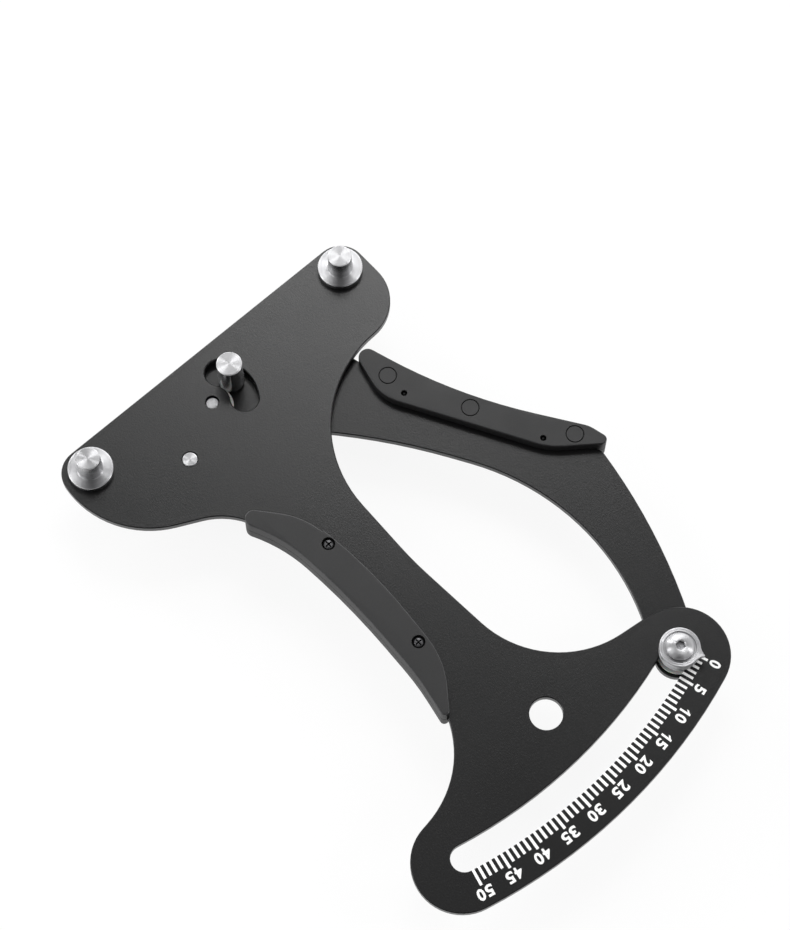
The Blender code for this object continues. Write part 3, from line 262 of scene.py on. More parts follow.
def blackenedHead():
    # Blackened screw: grey on the head, and painted shade near black down in the driver's recess and at the
    # screw's far end in the pilot hole.
    look = {"colour": (0.085, 0.085, 0.088), "roughness": 0.42, "recess": 0.12, "rubs": 2400.0,
            "tint": (0.75, 1.2), "roughRange": (0.36, 0.5), "relief": 0.000006}
    finish, tree, shader = newFinish("blackenedHead", look, 1.0)
    fine = cloud(tree, look["rubs"], 3.0)
    hollow = addNode(tree, "ShaderNodeAttribute", attribute_name="hollow").outputs["Fac"]
    # Where the hollow mask is one, the colour drops to the recess share: painted shade.
    tint = times(tree, spread(tree, fine, *look["tint"]), spread(tree, hollow, 1.0, look["recess"], 0.0, 1.0))
    dressShader(tree, shader, look, tint, spread(tree, fine, *look["roughRange"]), fine)
    return finish


def scaleWhite():
    # Screen-printed white: a slightly uneven film.
    look = {"colour": (0.95, 0.95, 0.94), "roughness": 0.5, "film": 3500.0, "tint": (0.95, 1.03),
            "roughRange": (0.42, 0.6), "relief": 0.000003}
    finish, tree, shader = newFinish("scaleWhite", look, 0.0)
    film = cloud(tree, look["film"], 2.0)
    rough = spread(tree, film, *look["roughRange"])
    dressShader(tree, shader, look, spread(tree, film, *look["tint"]), rough, film)
    return finish


finishes = {
    "plate": anodisedBlack("anodisedBlack", level=0.40),
    # The lever's copy reflects less than the plate's: a shaded copy that paints shade on the lever, which
    # lies lower behind the body and under the grip.
    "leverPlate": anodisedBlack("anodisedBlackShaded", level=0.32),
    # rimHighlightGain paints the rims lighter: a painted highlight line, strongest on the left grip.
    "grip": mouldedBlack("mouldedBlack", rimHighlightGain=1.3),
    "palmGrip": mouldedBlack("mouldedBlackPaintedRims", rimHighlightGain=3.6),
    "post": turnedSteel("turnedSteel", (0.64, 0.64, 0.65), roughness=0.56, anisotropy=0.98, lineCount=1.3,
                        relief=0.000004, sideShare=0.34),
    "pointer": turnedSteel("satinSteel", (0.52, 0.52, 0.53), roughness=0.46, anisotropy=0.80, lineCount=1.6,
                           relief=0.000002, sideShare=0.8),
    "dome": turnedSteel("polishedSteel", (0.56, 0.56, 0.57), roughness=0.40, anisotropy=0.96, lineCount=1.2,
                        relief=0.000001),
    # A darker steel for the cup in the pointer screw's socket: painted shade.
    "socket": platedSteel("socketShadeGrey", (0.26, 0.26, 0.27), roughness=0.28),
    "zinc": platedSteel("zincSteel", (0.50, 0.51, 0.53), roughness=0.32),
    "wire": drawnWire(),
    "bronze": sinteredBronze(),
    "nylon": paleNylon(),
    "screwHead": blackenedHead(),
    "print": scaleWhite(),
}
print("scene: finishes made:", len(finishes))


# Surfaces

def pointsOf(mesh):
    points = np.zeros(len(mesh.vertices) * 3)
    mesh.vertices.foreach_get("co", points)
    return points.reshape(-1, 3)


def finishMesh(mesh, angle):
    bm = bmesh.new()
    bm.from_mesh(mesh)
    bmesh.ops.remove_doubles(bm, verts=bm.verts[:], dist=0.0000005)
    bmesh.ops.recalc_face_normals(bm, faces=bm.faces[:])
    bm.to_mesh(mesh)
    bm.free()
    mesh.shade_smooth()
    mesh.set_sharp_from_angle(angle=math.radians(angle))


def newObject(name, data):
    made = bpy.data.objects.new(name, data)
    bpy.context.scene.collection.objects.link(made)
    return made


def addPiece(mesh, finish, body, nodes=()):
    # The piece has its mesh's name.
    piece = newObject(mesh.name, mesh)
    mesh.materials.clear()
    mesh.materials.append(finishes[finish])
    if body:
        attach(piece, body)
    if nodes:
        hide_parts(*nodes)
    return piece


def gridMesh(name, points, loop=False, angle=35.0):
    # points[i, j] is row i and column j in the row frame. Columns always close round;
    # rows close too when loop is set. The UV map is (share round, mm along).
    rows, columns = points.shape[:2]
    index = np.arange(rows * columns).reshape(rows, columns)
    below = index if loop else index[:-1]
    above = np.roll(index, -1, 0) if loop else index[1:]
    quads = np.stack([below, np.roll(below, -1, 1), np.roll(above, -1, 1), above], -1).reshape(-1, 4)
    mesh = bpy.data.meshes.new(name)
    mesh.from_pydata(points.reshape(-1, 3).tolist(), [], quads.tolist())
    steps = np.linalg.norm(np.diff(points, axis=0, append=points[:1]), axis=2).max(1) / mm
    along = np.concatenate([[0.0], np.cumsum(steps)])
    low = np.repeat(along[:len(below)], columns)
    high = np.repeat(along[1:len(below) + 1], columns)
    left = np.tile(np.arange(columns) / columns, len(below))
    right = left + 1 / columns
    corners = np.stack([left, low, right, low, right, high, left, high], -1)
    mesh.uv_layers.new(name="lathe").data.foreach_set("uv", corners.ravel())
    finishMesh(mesh, angle)
    return mesh


def roundAngles(columns, extra=()):
    # Evenly spaced angles with some exact ones added.
    even = np.linspace(0.0, 2 * math.pi, columns, endpoint=False)
    return np.unique(np.round(np.concatenate([even, np.mod(extra, 2 * math.pi)]), 9))


def ringRows(rings, angles, centre):
    # A ring is (radius, height, ease): the radius is a number or one for each angle, in mm.
    rows = []
    for radius, height, ease in rings:
        radius = np.broadcast_to(radius, angles.shape)
        rows.append(np.stack([
            centre[0] + radius * np.cos(angles), centre[1] + radius * np.sin(angles),
            np.full(angles.shape, float(height)),
        ], -1))
    return np.array(rows), [ring[2] for ring in rings]


def easeRows(rows, eases, steps=5, loop=False):
    # Each row with an ease becomes rows on a parabola that touches both neighbouring sides:
    # with t from 0 to 1 the point is the Bezier mix of start, corner and end.
    made = []
    count = len(rows)
    for i in range(count):
        ease = eases[i]
        if not ease or (not loop and i in (0, count - 1)):
            made.append(rows[i])
            continue
        before = rows[i - 1] - rows[i]
        after = rows[(i + 1) % count] - rows[i]
        lengthBefore = np.linalg.norm(before, axis=1, keepdims=True)
        lengthAfter = np.linalg.norm(after, axis=1, keepdims=True)
        start = rows[i] + before * np.minimum(ease / np.maximum(lengthBefore, 1e-9), 0.45)
        end = rows[i] + after * np.minimum(ease / np.maximum(lengthAfter, 1e-9), 0.45)
        for t in np.linspace(0.0, 1.0, steps):
            made.append(start * (1 - t) ** 2 + rows[i] * 2 * t * (1 - t) + end * t * t)
    return np.array(made)


def ringMesh(name, rings, centre, columns=96, extra=(), loop=False, steps=5, angle=35.0):
    angles = roundAngles(columns, extra)
    if callable(rings):
        rings = rings(angles)
    rows, eases = ringRows(rings, angles, centre)
    return gridMesh(name, toRow(easeRows(rows, eases, steps, loop)), loop, angle)


def pieceName(node):
    # post_left becomes postLeft.
    first, *rest = node.split("_")
    return first + "".join(word.title() for word in rest)


def ringPiece(node, rings, finish, body, columns=96, extra=(), loop=False, steps=5, angle=35.0,
              centre=None):
    # A turned piece in place of a CAD node, on the middle of the node's box or on another centre.
    middle = axisOf(node) if centre is None else centre
    mesh = ringMesh(pieceName(node), rings, middle, columns, extra, loop, steps, angle)
    return addPiece(mesh, finish, body, [node])


def plainRing(bore, radius, low, high, ease=0.12):
    return [(bore, low, ease), (radius, low, ease), (radius, high, ease), (bore, high, ease)]


def hexRadius(angles, acrossFlats):
    # Distance to the side of a hexagon with a corner at angle zero.
    folded = np.mod(angles, math.pi / 3) - math.pi / 6
    return acrossFlats / 2 / np.cos(folded)


hexCorners = np.arange(6) * math.pi / 3


def crossRadius(angles, arm, half):
    # Distance to the outline of a plus sign whose arms are arm long and two halves wide.
    folded = np.abs(np.mod(angles + math.pi / 4, math.pi / 2) - math.pi / 4)
    end = arm / np.cos(folded)
    side = half / np.maximum(np.sin(folded), 1e-9)
    return np.minimum(end, side)


def dressCopy(node, finish, body, angle=32.0):
    # The CAD node's own surface, merged and shaded afresh, under a detailed finish.
    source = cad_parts[node].data
    mesh = bpy.data.meshes.new(pieceName(node))
    mesh.from_pydata(pointsOf(source).tolist(), [], [tuple(face.vertices) for face in source.polygons])
    finishMesh(mesh, angle)
    return addPiece(mesh, finish, body, [node])


# Plates

dressCopy("body_plate", "plate", "body")
dressCopy("lever_plate", "leverPlate", "lever")
print("scene: plates dressed")

# Printed scale

scaleSettings = {
    "ticks": 51,
    "angles": (-71.026, -29.524, -6.289, 3.263),     # degrees by powers of the share of the scale
    "drift": (0.26, -1.56, 2.13),                    # mm outwards, the same way
    "slotEdge": 190.0,
    "chamfer": 0.3,
    "shortTop": 194.1,
    "longTop": 195.2,
    "stroke": 1.0,
    "numberBase": 195.95,
    "numberHeight": 4.1,
    "digitWidth": 2.66,
    "digitStep": 3.2,
    "oneWidth": 1.62,
    "film": 0.02,                # thickness of the print
    "pitch": 2.24,               # mm of arc for one tick, to place a digit beside its tick
}
# Outline of the figure one in a unit box, counter-clockwise from the foot.
figureOne = [(0.52, 0.0), (1.0, 0.0), (1.0, 1.0), (0.61, 1.0), (0.44, 0.86), (0.22, 0.76), (0.0, 0.70),
             (0.0, 0.53), (0.28, 0.60), (0.52, 0.71)]


def scaleRow(along, out, height):
    # along in mm from tick 0 and out in mm of radius, laid on the print's own arc:
    # angle and drift are both sums of powers of the share of the scale.
    s = scaleSettings
    share = along / s["pitch"] / (s["ticks"] - 1)
    angle = sum(term * share ** power for power, term in enumerate(s["angles"]))
    drift = sum(term * share ** power for power, term in enumerate(s["drift"]))
    grow = np.clip((out - s["slotEdge"]) / (s["longTop"] - s["slotEdge"]), 0.0, 1.0)
    radius = out + drift * grow
    angle = np.radians(angle)
    return toRow(np.stack([radius * np.cos(angle), radius * np.sin(angle), height], -1))


def makeTicks():
    s = scaleSettings
    number = np.arange(s["ticks"])
    top = np.where(number % 5 == 0, s["longTop"], s["shortTop"])
    foot = np.full(top.shape, s["slotEdge"])
    # Four stations along each tick: down in the slot's chamfer, at its upper rim, near the end, at the end.
    out = np.stack([foot + 0.05, foot + s["chamfer"], (foot + top) / 2, top], 1)
    lift = np.array([-s["chamfer"] + 0.05, 0.0, 0.0, 0.0])
    half = s["stroke"] / 2
    # The section round a tick: two lower corners sunk in the plate and two upper ones.
    side = np.array([-half, half, half, -half])
    level = np.array([-s["film"], -s["film"], s["film"], s["film"]])
    along = (number * s["pitch"])[:, None, None] + side[None, None, :]
    along = np.broadcast_to(along, (len(number), 4, 4))
    outs = np.broadcast_to(out[:, :, None], along.shape)
    heights = np.broadcast_to(lift[None, :, None] + level[None, None, :], along.shape)
    points = scaleRow(along, outs, heights)
    index = np.arange(16).reshape(4, 4)
    turned = np.roll(index, -1, 1)
    walls = np.stack([index[:-1], turned[:-1], turned[1:], index[1:]], -1).reshape(-1, 4)
    faces = np.concatenate([walls, index[:1, ::-1], index[-1:]])
    faces = (faces[None] + 16 * number[:, None, None]).reshape(-1, 4)
    mesh = bpy.data.meshes.new("scaleTicks")
    mesh.from_pydata(points.reshape(-1, 3).tolist(), [], faces.tolist())
    finishMesh(mesh, 30.0)
    return mesh


def digitShape(digit):
    # A digit's outline in a unit box, a little thick: the figure one as drawn, the rest from plain letters.
    if digit == "1":
        count = len(figureOne)
        flat = np.array(figureOne)
        points = np.concatenate([np.column_stack([flat, np.full(count, level)]) for level in (0.0, 1.0)])
        ring = np.arange(count)
        after = np.roll(ring, -1)
        walls = np.stack([ring, after, after + count, ring + count], -1).tolist()
        return points, walls + [ring[::-1].tolist(), (ring + count).tolist()]
    curve = bpy.data.curves.new("digit" + digit, "FONT")
    curve.body = digit
    curve.offset = 0.034
    curve.extrude = 0.02
    curve.resolution_u = 8
    text = newObject("digit" + digit, curve)
    bpy.context.view_layer.update()
    mesh = bpy.data.meshes.new_from_object(text.evaluated_get(bpy.context.evaluated_depsgraph_get()))
    bpy.data.objects.remove(text)
    points = pointsOf(mesh)
    low, high = points.min(0), points.max(0)
    faces = [tuple(face.vertices) for face in mesh.polygons]
    bpy.data.meshes.remove(mesh)
    return (points - low) / (high - low), faces


def makeNumbers():
    s = scaleSettings
    shapes = {digit: digitShape(digit) for digit in "012345"}
    allPoints, allFaces, used = [], [], 0
    for value in range(0, s["ticks"], 5):
        text = str(value)
        for place, digit in enumerate(text):
            unit, faces = shapes[digit]
            width = s["oneWidth"] if digit == "1" else s["digitWidth"]
            middle = (place - (len(text) - 1) / 2) * s["digitStep"]
            along = value * s["pitch"] + middle + (unit[:, 0] - 0.5) * width
            out = s["numberBase"] + unit[:, 1] * s["numberHeight"]
            height = (unit[:, 2] * 2 - 1) * s["film"]
            allPoints.append(scaleRow(along, out, height))
            allFaces += [tuple(used + corner for corner in face) for face in faces]
            used += len(unit)
    mesh = bpy.data.meshes.new("scaleNumbers")
    mesh.from_pydata(np.concatenate(allPoints).tolist(), [], allFaces)
    finishMesh(mesh, 30.0)
    return mesh


addPiece(makeTicks(), "print", "body")
addPiece(makeNumbers(), "print", "body")
print("scene: scale printed")

# Posts

postSettings = {
    "top": 11.8, "flange": 8.0, "flangeTop": 2.8, "base": 0.3, "foot": 4.5, "tip": 4.2, "ring": 4.95,
    "ringHeight": 0.4, "chamfer": 0.3, "crown": 0.14, "bore": 2.3, "boreTop": 7.8, "columns": 128,
}


def fixedPostRings(angles):
    p = postSettings
    return [
        (0.0, p["top"], 0), (p["tip"] - p["chamfer"], p["top"] - p["crown"], 0.05),
        (p["tip"], p["top"] - p["crown"] - p["chamfer"], 0.08),
        (p["foot"], p["flangeTop"] + p["ringHeight"], 0.12), (p["ring"], p["flangeTop"], 0.1),
        (p["flange"] - 0.35, p["flangeTop"], 0.1), (p["flange"], p["flangeTop"] - 0.35, 0.15),
        (p["flange"], p["base"] + 0.2, 0.08), (p["flange"] - 0.2, p["base"], 0.05),
        (p["bore"], p["base"], 0.05), (p["bore"], p["boreTop"], 0.1), (0.0, p["boreTop"], 0),
    ]


for node in ("post_left", "post_right"):
    ringPiece(node, fixedPostRings, "post", "body", postSettings["columns"])

movingPost = {
    "top": 11.8, "radius": 4.55, "chamfer": 0.3, "crown": 0.14, "neck": -3.0, "foot": 3.8, "base": -4.0,
    "bore": 2.3, "boreTop": 3.5,
}


def movingPostRings(angles):
    p = movingPost
    return [
        (0.0, p["top"], 0), (p["radius"] - p["chamfer"], p["top"] - p["crown"], 0.05),
        (p["radius"], p["top"] - p["crown"] - p["chamfer"], 0.08), (p["radius"], p["neck"], 0.1),
        (p["foot"], p["neck"], 0.05), (p["foot"], p["base"], 0.05), (p["bore"], p["base"], 0.05),
        (p["bore"], p["boreTop"], 0.1), (0.0, p["boreTop"], 0),
    ]


ringPiece("moving_post", movingPostRings, "post", "lever", postSettings["columns"])
print("scene: posts turned")

# Pivot and spring

stack = {
    "bodyBack": -3.0, "leverFront": -4.3, "leverBack": -7.3, "gap": 0.3,
    "washer": 0.7, "shoulder": 4.0, "boltHead": 7.5, "boltHeadHeight": 2.6,
}
springSettings = {
    "coil": 9.0, "wire": 1.0, "pitch": 2.5, "wholeTurns": 3, "legExtra": 4.0,
    "leverPin": (24.0, -50.0, 2.5), "anchorPin": (22.85, -150.3, 2.4),     # reach, angle, radius
    "stepsPerTurn": 72, "section": 24,
}


def springLine():
    # Legs run straight along the coil's tangents; each touches its pin with the seat gap.
    s = springSettings
    leverReach, leverAngle, leverPin = s["leverPin"]
    anchorReach, anchorAngle, anchorPin = s["anchorPin"]
    leverOff = s["coil"] + leverPin + s["wire"] + stack["gap"]
    anchorOff = s["coil"] + anchorPin + s["wire"] + stack["gap"]
    start = math.radians(leverAngle) + math.acos(leverOff / leverReach)
    stop = math.radians(anchorAngle) - math.acos(anchorOff / anchorReach)
    turn = (stop - start) % (2 * math.pi) + s["wholeTurns"] * 2 * math.pi
    front = stack["leverBack"] - stack["gap"] - s["wire"]
    back = front - s["pitch"] * turn / (2 * math.pi)
    share = np.linspace(0.0, 1.0, int(s["stepsPerTurn"] * turn / (2 * math.pi)))
    angle = start + turn * share
    height = front + (back - front) * share
    coil = np.stack([s["coil"] * np.cos(angle), s["coil"] * np.sin(angle), height], -1)
    leverLeg = math.sqrt(leverReach ** 2 - leverOff ** 2) + s["legExtra"]
    anchorLeg = math.sqrt(anchorReach ** 2 - anchorOff ** 2) + s["legExtra"]
    away = np.array([*polar(1.0, start - math.pi / 2), 0.0])
    onward = np.array([*polar(1.0, start + turn + math.pi / 2), 0.0])
    run = np.linspace(0.0, 1.0, 24)[1:, None]
    first = (coil[0] + away * leverLeg * run)[::-1]
    last = coil[-1] + onward * anchorLeg * run
    return np.concatenate([first, coil, last]), front, back


springPath, springFront, springBack = springLine()


def tubeMesh(name, path, radius, section):
    # A circle carried along the path: each point is place + radius times (cos of the side vector
    # plus sin of the upper vector); both ends are rounded shut.
    tangent = np.gradient(path, axis=0)
    tangent /= np.linalg.norm(tangent, axis=1, keepdims=True)
    side = np.cross(tangent, [0.0, 0.0, 1.0])
    side /= np.linalg.norm(side, axis=1, keepdims=True)
    upper = np.cross(side, tangent)
    turn = np.linspace(0.0, math.pi / 2, 6)
    grow = np.sin(turn)
    inset = radius * 0.35 * (1 - np.cos(turn))
    order = np.concatenate([np.zeros(5, int), np.arange(len(path)), np.full(5, len(path) - 1)])
    size = np.concatenate([grow[:5], np.ones(len(path)), grow[:5][::-1]]) * radius
    shift = np.concatenate([inset[:5] - inset[-1], np.zeros(len(path)), inset[-1] - inset[:5][::-1]])
    centre = path[order] + tangent[order] * shift[:, None]
    around = np.linspace(0.0, 2 * math.pi, section, endpoint=False)
    ring = (side[order][:, None] * np.cos(around)[None, :, None]
            + upper[order][:, None] * np.sin(around)[None, :, None])
    return gridMesh(name, toRow(centre[:, None] + ring * size[:, None, None]))


wire = springSettings["wire"]
coilMesh = tubeMesh("torsionSpring", springPath, wire, springSettings["section"])
spring = addPiece(coilMesh, "wire", None, ["torsion_spring"])
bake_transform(spring)


def knurled(angles, radius, teeth, depth):
    # A straight knurl: the radius dips in a rounded saw-tooth, teeth times round.
    return radius - depth * np.abs(np.sin(angles * teeth / 2)) ** 0.7


pivotBolt = {
    "tip": -0.93, "neck": 2.25, "neckFoot": -3.3, "teeth": 60, "toothDepth": 0.16,
    "socket": 4.0, "mouth": 2.75, "socketDepth": 1.5,
}


def pivotBoltRings(angles):
    q = pivotBolt
    back = heightOf(boltLow.z)
    front = back + stack["boltHeadHeight"]
    head, shoulder = stack["boltHead"], stack["shoulder"]
    grip = knurled(angles, head, q["teeth"], q["toothDepth"])
    hexagon = hexRadius(angles, q["socket"])
    foot, floor = q["neckFoot"], back + q["socketDepth"]
    return [
        (0.0, q["tip"], 0), (1.1, q["tip"] - 0.03, 0.2), (1.9, q["tip"] - 0.13, 0.12),
        (q["neck"], q["tip"] - 0.47, 0.1), (q["neck"], foot + 0.3, 0), (q["neck"], foot, 0.1),
        (shoulder - 0.2, foot, 0.03), (shoulder, foot - 0.2, 0.05), (shoulder, front, 0.15),
        (head - 0.5, front, 0.1), (grip, front - 0.35, 0.06), (grip, back + 0.6, 0.06),
        (head - 0.55, back, 0.12), (q["mouth"], back, 0.06), (hexagon, back + 0.28, 0.05),
        (hexagon, floor, 0.1), (0.0, floor, 0),
    ]


centreAxis = np.zeros(2)
bearing = {"washer": 7.45, "bushWall": 1.7, "spoolHub": 6.9, "spoolFlange": 11.0, "flangeWidth": 1.0}
ringPiece("pivot_bolt", pivotBoltRings, "post", "body", 360, hexCorners, centre=centreAxis)
bore = stack["shoulder"] + stack["gap"]
washerTop = stack["bodyBack"] - stack["gap"]
ringPiece("pivot_washer", plainRing(bore, bearing["washer"], washerTop - stack["washer"], washerTop),
          "nylon", "body", loop=True, centre=centreAxis)
bush = plainRing(bore, bore + bearing["bushWall"], stack["leverBack"], stack["leverFront"], 0.15)
ringPiece("lever_bush", bush, "bronze", "lever", loop=True, centre=centreAxis)
flangeFront = springBack - wire - stack["gap"]
flangeBack = flangeFront - bearing["flangeWidth"]
spoolFront = stack["leverBack"] - stack["gap"]
hub, flange = bearing["spoolHub"], bearing["spoolFlange"]
ringPiece("spring_spool", [
    (bore, flangeBack, 0.15), (flange, flangeBack, 0.25), (flange, flangeFront, 0.25),
    (hub, flangeFront, 0.4), (hub, spoolFront, 0.2), (bore, spoolFront, 0.15),
], "nylon", "body", loop=True, centre=centreAxis)

pins = {"rivet": 2.675, "shank": 3.4, "neck": springSettings["anchorPin"][2], "beyond": 1.2,
        "stud": 1.8, "leverPin": springSettings["leverPin"][2]}
neckFront = springBack + wire + stack["gap"]
neckBack = springBack - wire - stack["gap"]
rivetFoot = stack["bodyBack"] - stack["gap"]
anchorEnd = neckBack - pins["beyond"]
ringPiece("spring_anchor_pin", [
    (0.0, 0.0, 0), (pins["rivet"] - 0.3, 0.0, 0.06), (pins["rivet"], -0.3, 0.1),
    (pins["rivet"], rivetFoot, 0.05), (pins["shank"], rivetFoot, 0.15), (pins["shank"], neckFront, 0.15),
    (pins["neck"], neckFront, 0.2), (pins["neck"], neckBack, 0.2), (pins["shank"], neckBack, 0.15),
    (pins["shank"], anchorEnd + 0.3, 0.1), (pins["shank"] - 0.3, anchorEnd, 0.1), (0.0, anchorEnd, 0),
], "post", "body", 96)
pinEnd = springFront - wire - pins["beyond"]
ringPiece("lever_spring_pin", [
    (0.0, stack["leverFront"], 0), (pins["stud"], stack["leverFront"], 0.12),
    (pins["stud"], spoolFront, 0.05), (pins["leverPin"], spoolFront, 0.12),
    (pins["leverPin"], pinEnd + 0.3, 0.08), (pins["leverPin"] - 0.3, pinEnd, 0.08), (0.0, pinEnd, 0),
], "post", "lever", 96)
print("scene: pivot and spring made")

# Post screws, countersunk from behind

screwSettings = {"shank": 2.0, "head": 3.9, "length": 10.0, "socket": 2.5, "mouth": 1.75, "socketDepth": 1.3}


def postScrewRings(back):
    q = screwSettings

    def rings(angles):
        hexagon = hexRadius(angles, q["socket"])
        tip = back + q["length"]
        return [
            (0.0, tip, 0), (q["shank"] - 0.5, tip, 0.1), (q["shank"], tip - 0.5, 0.1),
            (q["shank"], back + q["head"] - q["shank"], 0.15), (q["head"], back + 0.05, 0.05),
            (q["head"] - 0.12, back, 0.05), (q["mouth"], back, 0.05), (hexagon, back + 0.18, 0.03),
            (hexagon, back + q["socketDepth"], 0.08), (0.0, back + q["socketDepth"] + 0.2, 0),
        ]
    return rings


for node, body, back in (
    ("post_screw_left", "body", stack["bodyBack"]),
    ("post_screw_right", "body", stack["bodyBack"]),
    ("moving_post_screw", "lever", stack["leverBack"]),
):
    ringPiece(node, postScrewRings(back), "zinc", body, 96, hexCorners)
print("scene: post screws made")

# Grips

gripSettings = {
    "edgeAngle": 50.0,
    "markPlaces": ((53.0, -33.6), (66.4, -62.2), (87.0, -94.1)), "markRadius": 3.1, "markWidth": 0.56,
    "markDepth": 0.5,
}


def engrave(piece, cutters):
    # Cuts closed ring meshes out of a piece and keeps the result as its mesh.
    made = []
    for number, mesh in enumerate(cutters):
        cutter = newObject("cutter" + str(number), mesh)
        cut = piece.modifiers.new("cut" + str(number), "BOOLEAN")
        cut.operation = "DIFFERENCE"
        cut.solver = "EXACT"
        cut.object = cutter
        made.append(cutter)
    bpy.context.view_layer.update()
    result = bpy.data.meshes.new_from_object(piece.evaluated_get(bpy.context.evaluated_depsgraph_get()))
    piece.modifiers.clear()
    old = piece.data
    piece.data = result
    bpy.data.meshes.remove(old)
    for cutter in made:
        bpy.data.objects.remove(cutter)


for node, finish, body in (
    ("grip_left_front", "palmGrip", "body"), ("grip_left_back", "palmGrip", "body"),
    ("grip_right_front", "grip", "lever"), ("grip_right_back", "grip", "lever"),
):
    piece = dressCopy(node, finish, body, gripSettings["edgeAngle"])
    if node == "grip_right_front":
        # A V-shaped groove, a little flat at its foot, cut from above the face.
        radius, half = gripSettings["markRadius"], gripSettings["markWidth"] / 2
        face = heightOf(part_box(node)[1].z)
        foot = face - gripSettings["markDepth"]
        section = [(radius - half, face + 0.2, 0), (radius - 0.05, foot, 0), (radius + 0.05, foot, 0),
                   (radius + half, face + 0.2, 0)]
        engrave(piece, [ringMesh("mark" + str(i), section, place, 64, loop=True)
                        for i, place in enumerate(gripSettings["markPlaces"])])
        finishMesh(piece.data, gripSettings["edgeAngle"])
    evener = piece.modifiers.new("evenShade", "WEIGHTED_NORMAL")
    evener.keep_sharp = True


gripScrew = {
    "seat": 3.6, "crown": 5.0, "head": 1.95, "shank": 1.25, "tip": 0.8, "pointEnd": -4.8, "bluntEnd": -4.2,
    "crossReach": 0.66, "crossHalf": 0.27, "floorReach": 0.36, "floorHalf": 0.2, "crossDepth": 0.95,
}


def gripScrewRings(mid, facing, pointed):
    # Heights run from the grip's middle plane towards the head, and the cross reaches a share of the radius.
    def rings(angles):
        g = gripScrew
        crown, head, shank, tip = g["crown"], g["head"], g["shank"], g["tip"]
        wide = crossRadius(angles, head * g["crossReach"], g["crossHalf"])
        deep = crossRadius(angles, head * g["floorReach"], g["floorHalf"])
        if pointed:
            end = g["pointEnd"]
            shape = [(0.0, end, 0), (0.5, end + 0.05, 0.1), (tip, end + 0.35, 0.1), (tip, end + 1.1, 0),
                     (shank, end + 1.2, 0.05)]
        else:
            end = g["bluntEnd"]
            shape = [(0.0, end, 0), (tip, end, 0), (shank, end + 0.45, 0.05)]
        shape += [
            (shank, g["seat"], 0.1), (head, g["seat"], 0.1), (head, crown - 0.5, 0.25),
            (head * 0.8, crown - 0.12, 0.2), (wide, crown, 0.02), (wide * 0.96, crown - 0.15, 0),
            (deep, crown - g["crossDepth"], 0), (0.0, crown - g["crossDepth"] - 0.1, 0),
        ]
        return [(radius, mid + facing * height, ease) for radius, height, ease in shape]
    return rings


def markHollow(mesh, crown, facing):
    # One for the points inside the driver's recess, below the crown and within the cross's reach, and for the
    # far end that shows down in a pilot hole: the points where the finish paints shade.
    points = pointsOf(mesh)
    middle = (points.min(0) + points.max(0)) / 2
    reach = np.linalg.norm((points - middle)[:, :2], axis=1) / mm
    below = (crown - heightOf(points[:, 2])) * facing
    hollow = ((below > 0.1) & (below < 1.2) & (reach < 1.27)) | (below > 7.0)
    mesh.attributes.new("hollow", "FLOAT", "POINT").data.foreach_set("value", hollow.astype(np.float32))


quarters = np.arange(4) * math.pi / 2
crossCorner = math.atan2(gripScrew["crossHalf"], gripScrew["head"] * gripScrew["crossReach"])
crossCorners = np.concatenate([quarters - crossCorner, quarters + crossCorner, quarters + math.pi / 4])
leftMid = stack["bodyBack"] / 2
rightMid = (stack["leverFront"] + stack["leverBack"]) / 2
for node, body, mid, facing in (
    ("grip_left_screw_upper", "body", leftMid, 1), ("grip_left_screw_lower", "body", leftMid, 1),
    ("grip_right_screw_upper", "lever", rightMid, -1), ("grip_right_screw_lower", "lever", rightMid, -1),
):
    rings = gripScrewRings(mid, facing, facing < 0)
    piece = ringPiece(node, rings, "screwHead", body, 96, crossCorners, steps=4, angle=30.0)
    markHollow(piece.data, mid + facing * gripScrew["crown"], facing)
print("scene: grips made")

# Pointer stack

pointerSettings = {
    "direction": -61.9, "disc": 7.05, "tipAway": 8.6, "tip": 0.3, "flare": 6.0,
    "base": 3.6, "top": 5.1, "rim": 0.22, "line": 6.28, "recess": 5.6, "floor": 4.6, "bore": 2.8,
    "headSeat": 4.9, "head": 4.8, "crown": 7.4, "crownRadius": 2.1, "socket": 3.0, "socketDepth": 1.4,
}


def pointerOutline(angles):
    # Seen from the axis the outline is the disc, then the hollow flare on each side, then the small tip:
    # each is a circle, so the distance along a ray is the root of a quadratic.
    p = pointerSettings
    away = np.abs(np.mod(angles - math.radians(p["direction"]) + math.pi, 2 * math.pi) - math.pi)
    reachDisc = p["disc"] + p["flare"]
    reachTip = p["tip"] + p["flare"]
    along = (reachDisc ** 2 - reachTip ** 2 + p["tipAway"] ** 2) / (2 * p["tipAway"])
    across = math.sqrt(reachDisc ** 2 - along ** 2)
    cos, sin = np.cos(away), np.sin(away)
    ahead = along * cos + across * sin
    inside = np.maximum(ahead ** 2 - along ** 2 - across ** 2 + p["flare"] ** 2, 0.0)
    flare = ahead - np.sqrt(inside)
    tip = p["tipAway"] * cos + np.sqrt(np.maximum(p["tip"] ** 2 - (p["tipAway"] * sin) ** 2, 0.0))
    flareEdge = math.atan2(across, along)
    touch = p["tip"] / reachTip
    tipEdge = math.atan2(touch * across, p["tipAway"] + touch * (along - p["tipAway"]))
    return np.where(away < tipEdge, tip, np.where(away < flareEdge, flare, p["disc"]))


def pointerRings(angles):
    p = pointerSettings
    outline = pointerOutline(angles)
    inner = outline - p["rim"]
    line = [(p["line"] + away, p["top"] - down, 0.02)
            for away, down in ((0.14, 0), (0.06, 0.09), (-0.06, 0.09), (-0.14, 0))]
    return [
        (p["bore"], p["base"], 0.05), (outline - 0.1, p["base"], 0.03), (outline, p["base"] + 0.1, 0.03),
        (outline, p["top"] - 0.2, 0.06), (inner, p["top"], 0.06),
    ] + line + [
        (p["recess"] + 0.1, p["top"], 0.06), (p["recess"], p["top"] - 0.12, 0.04),
        (p["recess"], p["floor"], 0.06), (p["bore"], p["floor"], 0.05),
    ]


